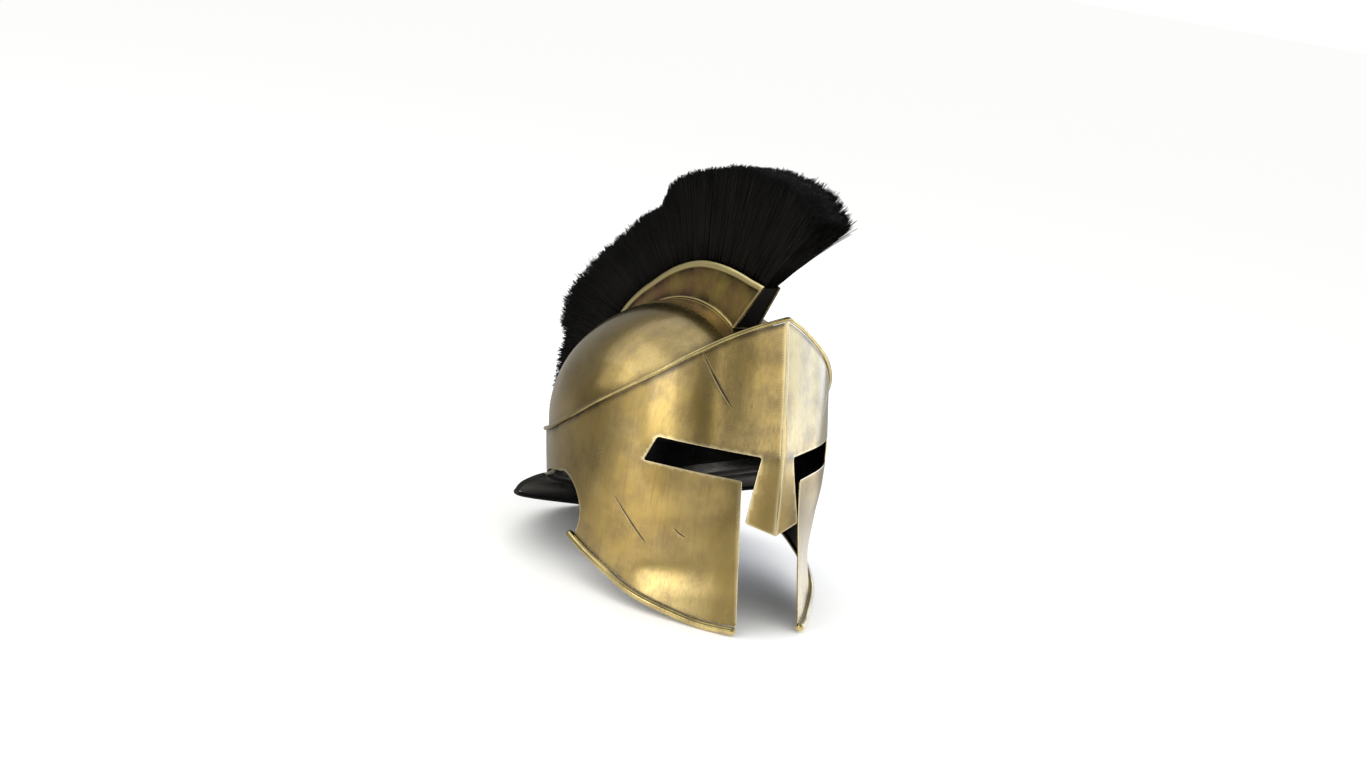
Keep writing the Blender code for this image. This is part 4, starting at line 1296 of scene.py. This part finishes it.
def antique_brass(name, clean, worn, aged, darkest, bright, roughness, lacquer):
    """Brass sheet, spun and hammered, then darkened and polished back by hand.

    The rubbing leaves upright streaks and cloudy patches of brown and olive; raised edges and cuts
    are bright, from wear and painted highlights, and corners are dark, from soiling and painted shade.
    """
    material, tree, shader = new_material(name)
    spot = add(tree, "ShaderNodeTexCoord").outputs["Object"]
    drawn = add(tree, "ShaderNodeMapping", {
        "Vector": spot, "Rotation": (0.1, 0.06, 0.0), "Scale": (650.0, 650.0, 24.0)}).outputs[0]
    upright = add(tree, "ShaderNodeMapping", {"Vector": spot, "Scale": (40.0, 40.0, 7.0)}).outputs[0]
    noises = (
        # clouds of patina, about 60 mm and 18 mm across
        (spot, 17.0, 3.0, 0.55),
        (spot, 48.0, 3.0, 0.55),
        # strokes of the polishing cloth, about 1.5 mm wide and 40 mm long
        (drawn, 1.0, 3.0, 0.6),
        # specks of tarnish, about 1.5 mm across
        (spot, 480.0, 2.0, 0.5),
        # waves left by the stakes that the sheet was raised on, about 25 mm across and upright
        (upright, 1.0, 2.0, 0.4),
    )
    broad, cloud, stroke, speck, dents = (
        add(tree, "ShaderNodeTexNoise", {
            "Vector": where, "Scale": scale, "Detail": detail, "Roughness": rough}).outputs["Fac"]
        for where, scale, detail, rough in noises)
    ranges = (
        # pattern, its low and high, and the shares that these give
        (broad, 0.36, 0.64, 0.0, 1.0),
        (cloud, 0.44, 0.72, 0.0, 0.62),
        (stroke, 0.5, 0.76, 0.0, 0.42),
        (speck, 0.70, 0.80, 0.0, 0.35),
        (cloud, 0.3, 0.6, 0.55, 1.0),
        (cloud, 0.35, 0.7, *roughness),
    )
    patch, haze, lines, dots, uneven, sheen = (
        add(tree, "ShaderNodeMapRange", {
            "Value": pattern, "From Min": low, "From Max": high, "To Min": least, "To Max": most}).outputs[0]
        for pattern, low, high, least, most in ranges)
    # marks of the mesh: painted shade together with soiling, and painted highlight together with wear
    dirt_and_shade, wear_and_highlight = (
        add(tree, "ShaderNodeAttribute", attribute_name=label).outputs["Fac"]
        for label in ("dirt_and_shade", "wear_and_highlight"))
    darkened_share = add(tree, "ShaderNodeMath", {0: dirt_and_shade, 1: uneven}, operation="MULTIPLY").outputs[0]

    colour = tint(clean)
    # the darkest colour lays on tarnish specks, soiling and painted shade; the bright colour lays on wear and
    # painted highlights
    layers = ((patch, worn), (haze, aged), (lines, aged), (dots, darkest), (darkened_share, darkest), (wear_and_highlight, bright))
    for share, over in layers:
        colour = add(tree, "ShaderNodeMix", {0: share, 6: colour, 7: tint(over)}, data_type="RGBA").outputs[2]
    rough = sheen
    for pattern, gain in ((stroke, 0.10), (darkened_share, 0.14)):
        rough = add(tree, "ShaderNodeMath", {
            0: pattern, 1: gain, 2: rough}, operation="MULTIPLY_ADD").outputs[0]
    hammered = add(tree, "ShaderNodeBump", {"Height": dents, "Strength": 0.8, "Distance": 0.0008})
    brushed = add(tree, "ShaderNodeBump", {
        "Height": stroke, "Strength": 0.35, "Distance": 0.00007, "Normal": hammered.outputs[0]})
    joined(tree, shader, {"Base Color": colour, "Roughness": rough, "Normal": brushed.outputs[0]},
           Metallic=1.0, Coat_Weight=lacquer, Coat_Roughness=0.16)
    return material


def black_enamel(name, roughness, deep, dusty, gloss):
    """Black enamel brushed on metal. It gives a soft wide sheen with faint brush marks."""
    material, tree, shader = new_material(name)
    spot = add(tree, "ShaderNodeTexCoord").outputs["Object"]
    # brush marks about 2 mm wide, and films of dust about 17 mm across
    drawn = add(tree, "ShaderNodeMapping", {"Vector": spot, "Scale": (90.0, 90.0, 420.0)})
    marks = add(tree, "ShaderNodeTexNoise", {"Vector": drawn.outputs[0], "Scale": 1.0, "Detail": 3.0})
    dust = add(tree, "ShaderNodeTexNoise", {
        "Vector": spot, "Scale": 60.0, "Detail": 5.0, "Roughness": 0.65}).outputs["Fac"]
    film = add(tree, "ShaderNodeMapRange", {"Value": dust, "From Min": 0.4, "From Max": 0.75})
    colour = add(tree, "ShaderNodeMix", {0: film.outputs[0], 6: tint(deep), 7: tint(dusty)}, data_type="RGBA")
    rough = add(tree, "ShaderNodeMapRange", {
        "Value": dust, "From Min": 0.3, "From Max": 0.7, "To Min": roughness, "To Max": roughness + 0.14})
    relief = add(tree, "ShaderNodeBump", {
        "Height": marks.outputs["Fac"], "Strength": 0.3, "Distance": 0.0002})
    joined(tree, shader, {
        "Base Color": colour.outputs[2], "Roughness": rough.outputs[0], "Normal": relief.outputs[0]},
        Specular_IOR_Level=gloss)
    return material


def horsehair():
    """Dyed black horsehair: nearly black, each hair a little apart in tone, with a low dull gloss."""
    material, tree, shader = new_material("dyed_horsehair")
    spot = add(tree, "ShaderNodeTexCoord").outputs["Object"]
    tone = add(tree, "ShaderNodeAttribute", attribute_name="tone").outputs["Fac"]
    # patches about 33 mm across
    patch = add(tree, "ShaderNodeTexNoise", {"Vector": spot, "Scale": 30.0, "Detail": 4.0})
    mixed = add(tree, "ShaderNodeMath", {0: tone, 1: patch.outputs["Fac"]}, operation="MULTIPLY")
    share = add(tree, "ShaderNodeMapRange", {"Value": mixed.outputs[0], "From Min": 0.1, "From Max": 0.55})
    colour = add(tree, "ShaderNodeMix", {
        0: share.outputs[0], 6: tint("#040404"), 7: tint("#131211")}, data_type="RGBA")
    rough = add(tree, "ShaderNodeMapRange", {"Value": tone, "To Min": 0.48, "To Max": 0.7})
    joined(tree, shader, {"Base Color": colour.outputs[2], "Roughness": rough.outputs[0]},
           Specular_IOR_Level=0.12)
    return material


# Camera, floor and light

CAMERA_AZIMUTH = 32.3
CAMERA_ELEVATION = 0.6
CAMERA_ROLL = 1.7
CAMERA_DISTANCE = 1.5
FOCAL_PIXELS = 1920.0
SENSOR_WIDTH = 36.0
IMAGE_WIDTH, IMAGE_HEIGHT = 1366, 768
AIM_PIXEL = (683.8, 491.6)
AIM_HEIGHT = 0.0955

LIGHT_AIM_HEIGHT = 0.13
SOFT_BOXES = (
    # name, azimuth and elevation in degrees, distance, width, height, watts, colour
    ("key", -66.0, 7.9, 1.3, 0.46, 0.45, 1.7, "#fffdf8"),
    ("skirt", -62.0, 8.3, 1.35, 0.86, 0.45, 1.35, "#fffdf8"),
    ("shoulder", -92.5, 8.0, 1.4, 0.66, 0.90, 1.4, "#fffdf8"),
    ("high", -106.0, 37.0, 1.3, 0.34, 0.34, 0.42, "#fffdf8"),
    ("side", -107.0, 43.0, 1.35, 1.0, 1.0, 2.2, "#fffdf8"),
    ("front", 0.0, 0.0, 1.5, 1.25, 0.5, 2.6, "#fff9ec"),
    ("edge", 38.0, 2.0, 1.4, 0.5, 0.6, 2.3, "#fffaf0"),
    ("window", 88.0, 20.0, 1.3, 1.2, 1.2, 9.8, "#d3e1fb"),
    ("top", -110.0, 70.0, 1.4, 1.6, 1.6, 5.4, "#ffffff"),
)
FLOOR_REACH = 40
FLOOR_DROP = 0.0002
# strength of the painted glow that only mirrored rays see on the floor beside the cheek
PAINTED_REFLECTION_GLOW = 0.26
TENT_STRENGTH = 1.1
ROOM_STRENGTH = 0.30


def towards(azimuth, elevation):
    """Direction from the worn helmet, 0 degrees of azimuth in front of its face."""
    a, e = math.radians(azimuth), math.radians(elevation)
    return Vector((math.sin(a) * math.cos(e), -math.cos(a) * math.cos(e), math.sin(e)))


def make_camera():
    """Camera at the photo's angle, laid down with the helmet, so that it looks level over the floor."""
    back = towards(-CAMERA_AZIMUTH, CAMERA_ELEVATION)
    level = Vector((math.cos(math.radians(CAMERA_AZIMUTH)), -math.sin(math.radians(CAMERA_AZIMUTH)), 0.0))
    plumb = back.cross(level)
    roll = math.radians(CAMERA_ROLL)
    right = level * math.cos(roll) + plumb * math.sin(roll)
    up = plumb * math.cos(roll) - level * math.sin(roll)
    aside = (AIM_PIXEL[0] - IMAGE_WIDTH / 2) / FOCAL_PIXELS * CAMERA_DISTANCE
    below = (AIM_PIXEL[1] - IMAGE_HEIGHT / 2) / FOCAL_PIXELS * CAMERA_DISTANCE
    eye = Vector((0.0, 0.0, AIM_HEIGHT)) + back * CAMERA_DISTANCE - right * aside + up * below
    pose = Matrix((
        (right.x, up.x, back.x, eye.x),
        (right.y, up.y, back.y, eye.y),
        (right.z, up.z, back.z, eye.z),
        (0.0, 0.0, 0.0, 1.0),
    ))
    data = bpy.data.cameras.new("camera")
    data.sensor_width = SENSOR_WIDTH
    data.lens = FOCAL_PIXELS / IMAGE_WIDTH * SENSOR_WIDTH
    data.clip_start, data.clip_end = 0.05, 50.0
    camera = bpy.data.objects.new("camera", data)
    bpy.context.scene.collection.objects.link(camera)
    camera.matrix_world = SET_DOWN @ pose
    bpy.context.scene.camera = camera
    bpy.context.scene.view_settings.view_transform = "Standard"


def soft_box(name, azimuth, elevation, distance, width, height, power, colour):
    """Area light that faces the helmet, placed by its direction from the worn helmet's middle."""
    away = towards(azimuth, elevation)
    data = bpy.data.lights.new(name, "AREA")
    data.shape = "RECTANGLE"
    data.size, data.size_y = width, height
    data.energy = power
    data.color = tint(colour)[:3]
    light = bpy.data.objects.new(name, data)
    bpy.context.scene.collection.objects.link(light)
    place = Vector((0.0, 0.0, LIGHT_AIM_HEIGHT)) + away * distance
    facing = away.to_track_quat("Z", "Y").to_matrix().to_4x4()
    light.matrix_world = SET_DOWN @ Matrix.Translation(place) @ facing


def pale_floor():
    """A plain pale floor. To mirrored rays only it shows painted reflections: grey far in front of the
    helmet, a bright band that glows near its front, and painted shade behind it.
    """
    mesh = bmesh.new()
    for x, y in ((-1, -1), (1, -1), (1, 1), (-1, 1)):
        mesh.verts.new((x * FLOOR_REACH, y * FLOOR_REACH, -FLOOR_DROP))
    mesh.faces.new(mesh.verts)
    data = bpy.data.meshes.new("floor")
    mesh.to_mesh(data)
    mesh.free()
    floor = bpy.data.objects.new("floor", data)
    bpy.context.scene.collection.objects.link(floor)

    material, tree, shader = new_material("pale_floor")
    spot = add(tree, "ShaderNodeSeparateXYZ", {0: add(tree, "ShaderNodeTexCoord").outputs["Object"]})
    beside, behind = (
        add(tree, "ShaderNodeMapRange", {
            "Value": spot.outputs["Y"], "From Min": near, "From Max": far}).outputs[0]
        for near, far in ((-0.27, -0.19), (-0.12, 0.07)))
    mirror = add(tree, "ShaderNodeLightPath").outputs["Is Glossy Ray"]
    # painted reflection: what mirrored rays see on the floor, grey far in front, bright near the front, and
    # painted shade behind
    painted_reflection = tint("#c3bfb7")
    for share, over in ((beside, "#fdf8ee"), (behind, "#8a8780")):
        painted_reflection = add(tree, "ShaderNodeMix", {
            0: share, 6: painted_reflection, 7: tint(over)}, data_type="RGBA").outputs[2]
    colour = add(tree, "ShaderNodeMix", {
        0: mirror, 6: tint("#f2f2f0"), 7: painted_reflection}, data_type="RGBA")
    # painted reflection: for mirrored rays only, the floor glows in a band beside the cheek, out of the
    # picture, as a painted patch of light that shows in the brass
    lit = add(tree, "ShaderNodeMath", {0: beside, 1: behind}, operation="SUBTRACT")
    seen = add(tree, "ShaderNodeMath", {0: lit.outputs[0], 1: mirror}, operation="MULTIPLY")
    glow = add(tree, "ShaderNodeMath", {
        0: seen.outputs[0], 1: PAINTED_REFLECTION_GLOW}, operation="MULTIPLY", use_clamp=True)
    joined(tree, shader, {"Base Color": colour.outputs[2], "Emission Strength": glow.outputs[0]},
           Emission_Color=tint("#fff8ec"), Roughness=0.8, Specular_IOR_Level=0.0)
    data.materials.append(material)


def studio():
    """A pale floor, a white tent around it, a dimmer room for the metal to mirror, and soft boxes."""
    pale_floor()
    world = bpy.data.worlds.new("studio")
    bpy.context.scene.world = world
    world.use_nodes = True
    tree = world.node_tree
    tree.nodes.clear()
    mirror = add(tree, "ShaderNodeLightPath").outputs["Is Glossy Ray"]
    tent, room = (
        add(tree, "ShaderNodeBackground", {"Color": tint(code), "Strength": strength}).outputs[0]
        for code, strength in (("#ffffff", TENT_STRENGTH), ("#f6f3ea", ROOM_STRENGTH)))
    both = add(tree, "ShaderNodeMixShader", {0: mirror, 1: tent, 2: room})
    add(tree, "ShaderNodeOutputWorld", {"Surface": both.outputs[0]})
    for box in SOFT_BOXES:
        soft_box(*box)


def main():
    shell = antique_brass(
        "antique_brass_sheet", "#b49f66", "#a38b49", "#75623d", "#382b17", "#efe2b8", (0.16, 0.24), 0.9)
    beads = antique_brass(
        "rubbed_brass_bead", "#c9b87a", "#a4925c", "#6f5f3d", "#33291a", "#f2e8c4", (0.15, 0.22), 0.9)
    crest = antique_brass(
        "dark_brass_crest", "#cdbc57", "#a37c58", "#74603a", "#1c150d", "#efe3a8", (0.24, 0.36), 0.15)
    lining = black_enamel("black_enamel_lining", 0.22, "#050506", "#101013", 0.2)
    guard_lining = black_enamel("black_enamel_guard", 0.13, "#070708", "#202023", 1.0)
    trim = black_enamel("matt_black_trim", 0.5, "#070708", "#141415", 0.3)
    bar = black_enamel("black_stained_bar", 0.55, "#080706", "#151210", 0.2)
    hair = horsehair()

    face_mask([shell, lining])
    skull_dome([shell, lining])
    neck_guard([shell, guard_lining])
    neck_rim(trim)
    brow_bead(beads)
    cheek_bead("cheek_bead_roll_right", "cheek_bead_right", -1, beads)
    cheek_bead("cheek_bead_roll_left", "cheek_bead_left", 1, beads)
    crest_box([crest])
    crest_core(bar)
    plume(hair)
    make_camera()
    studio()


main()
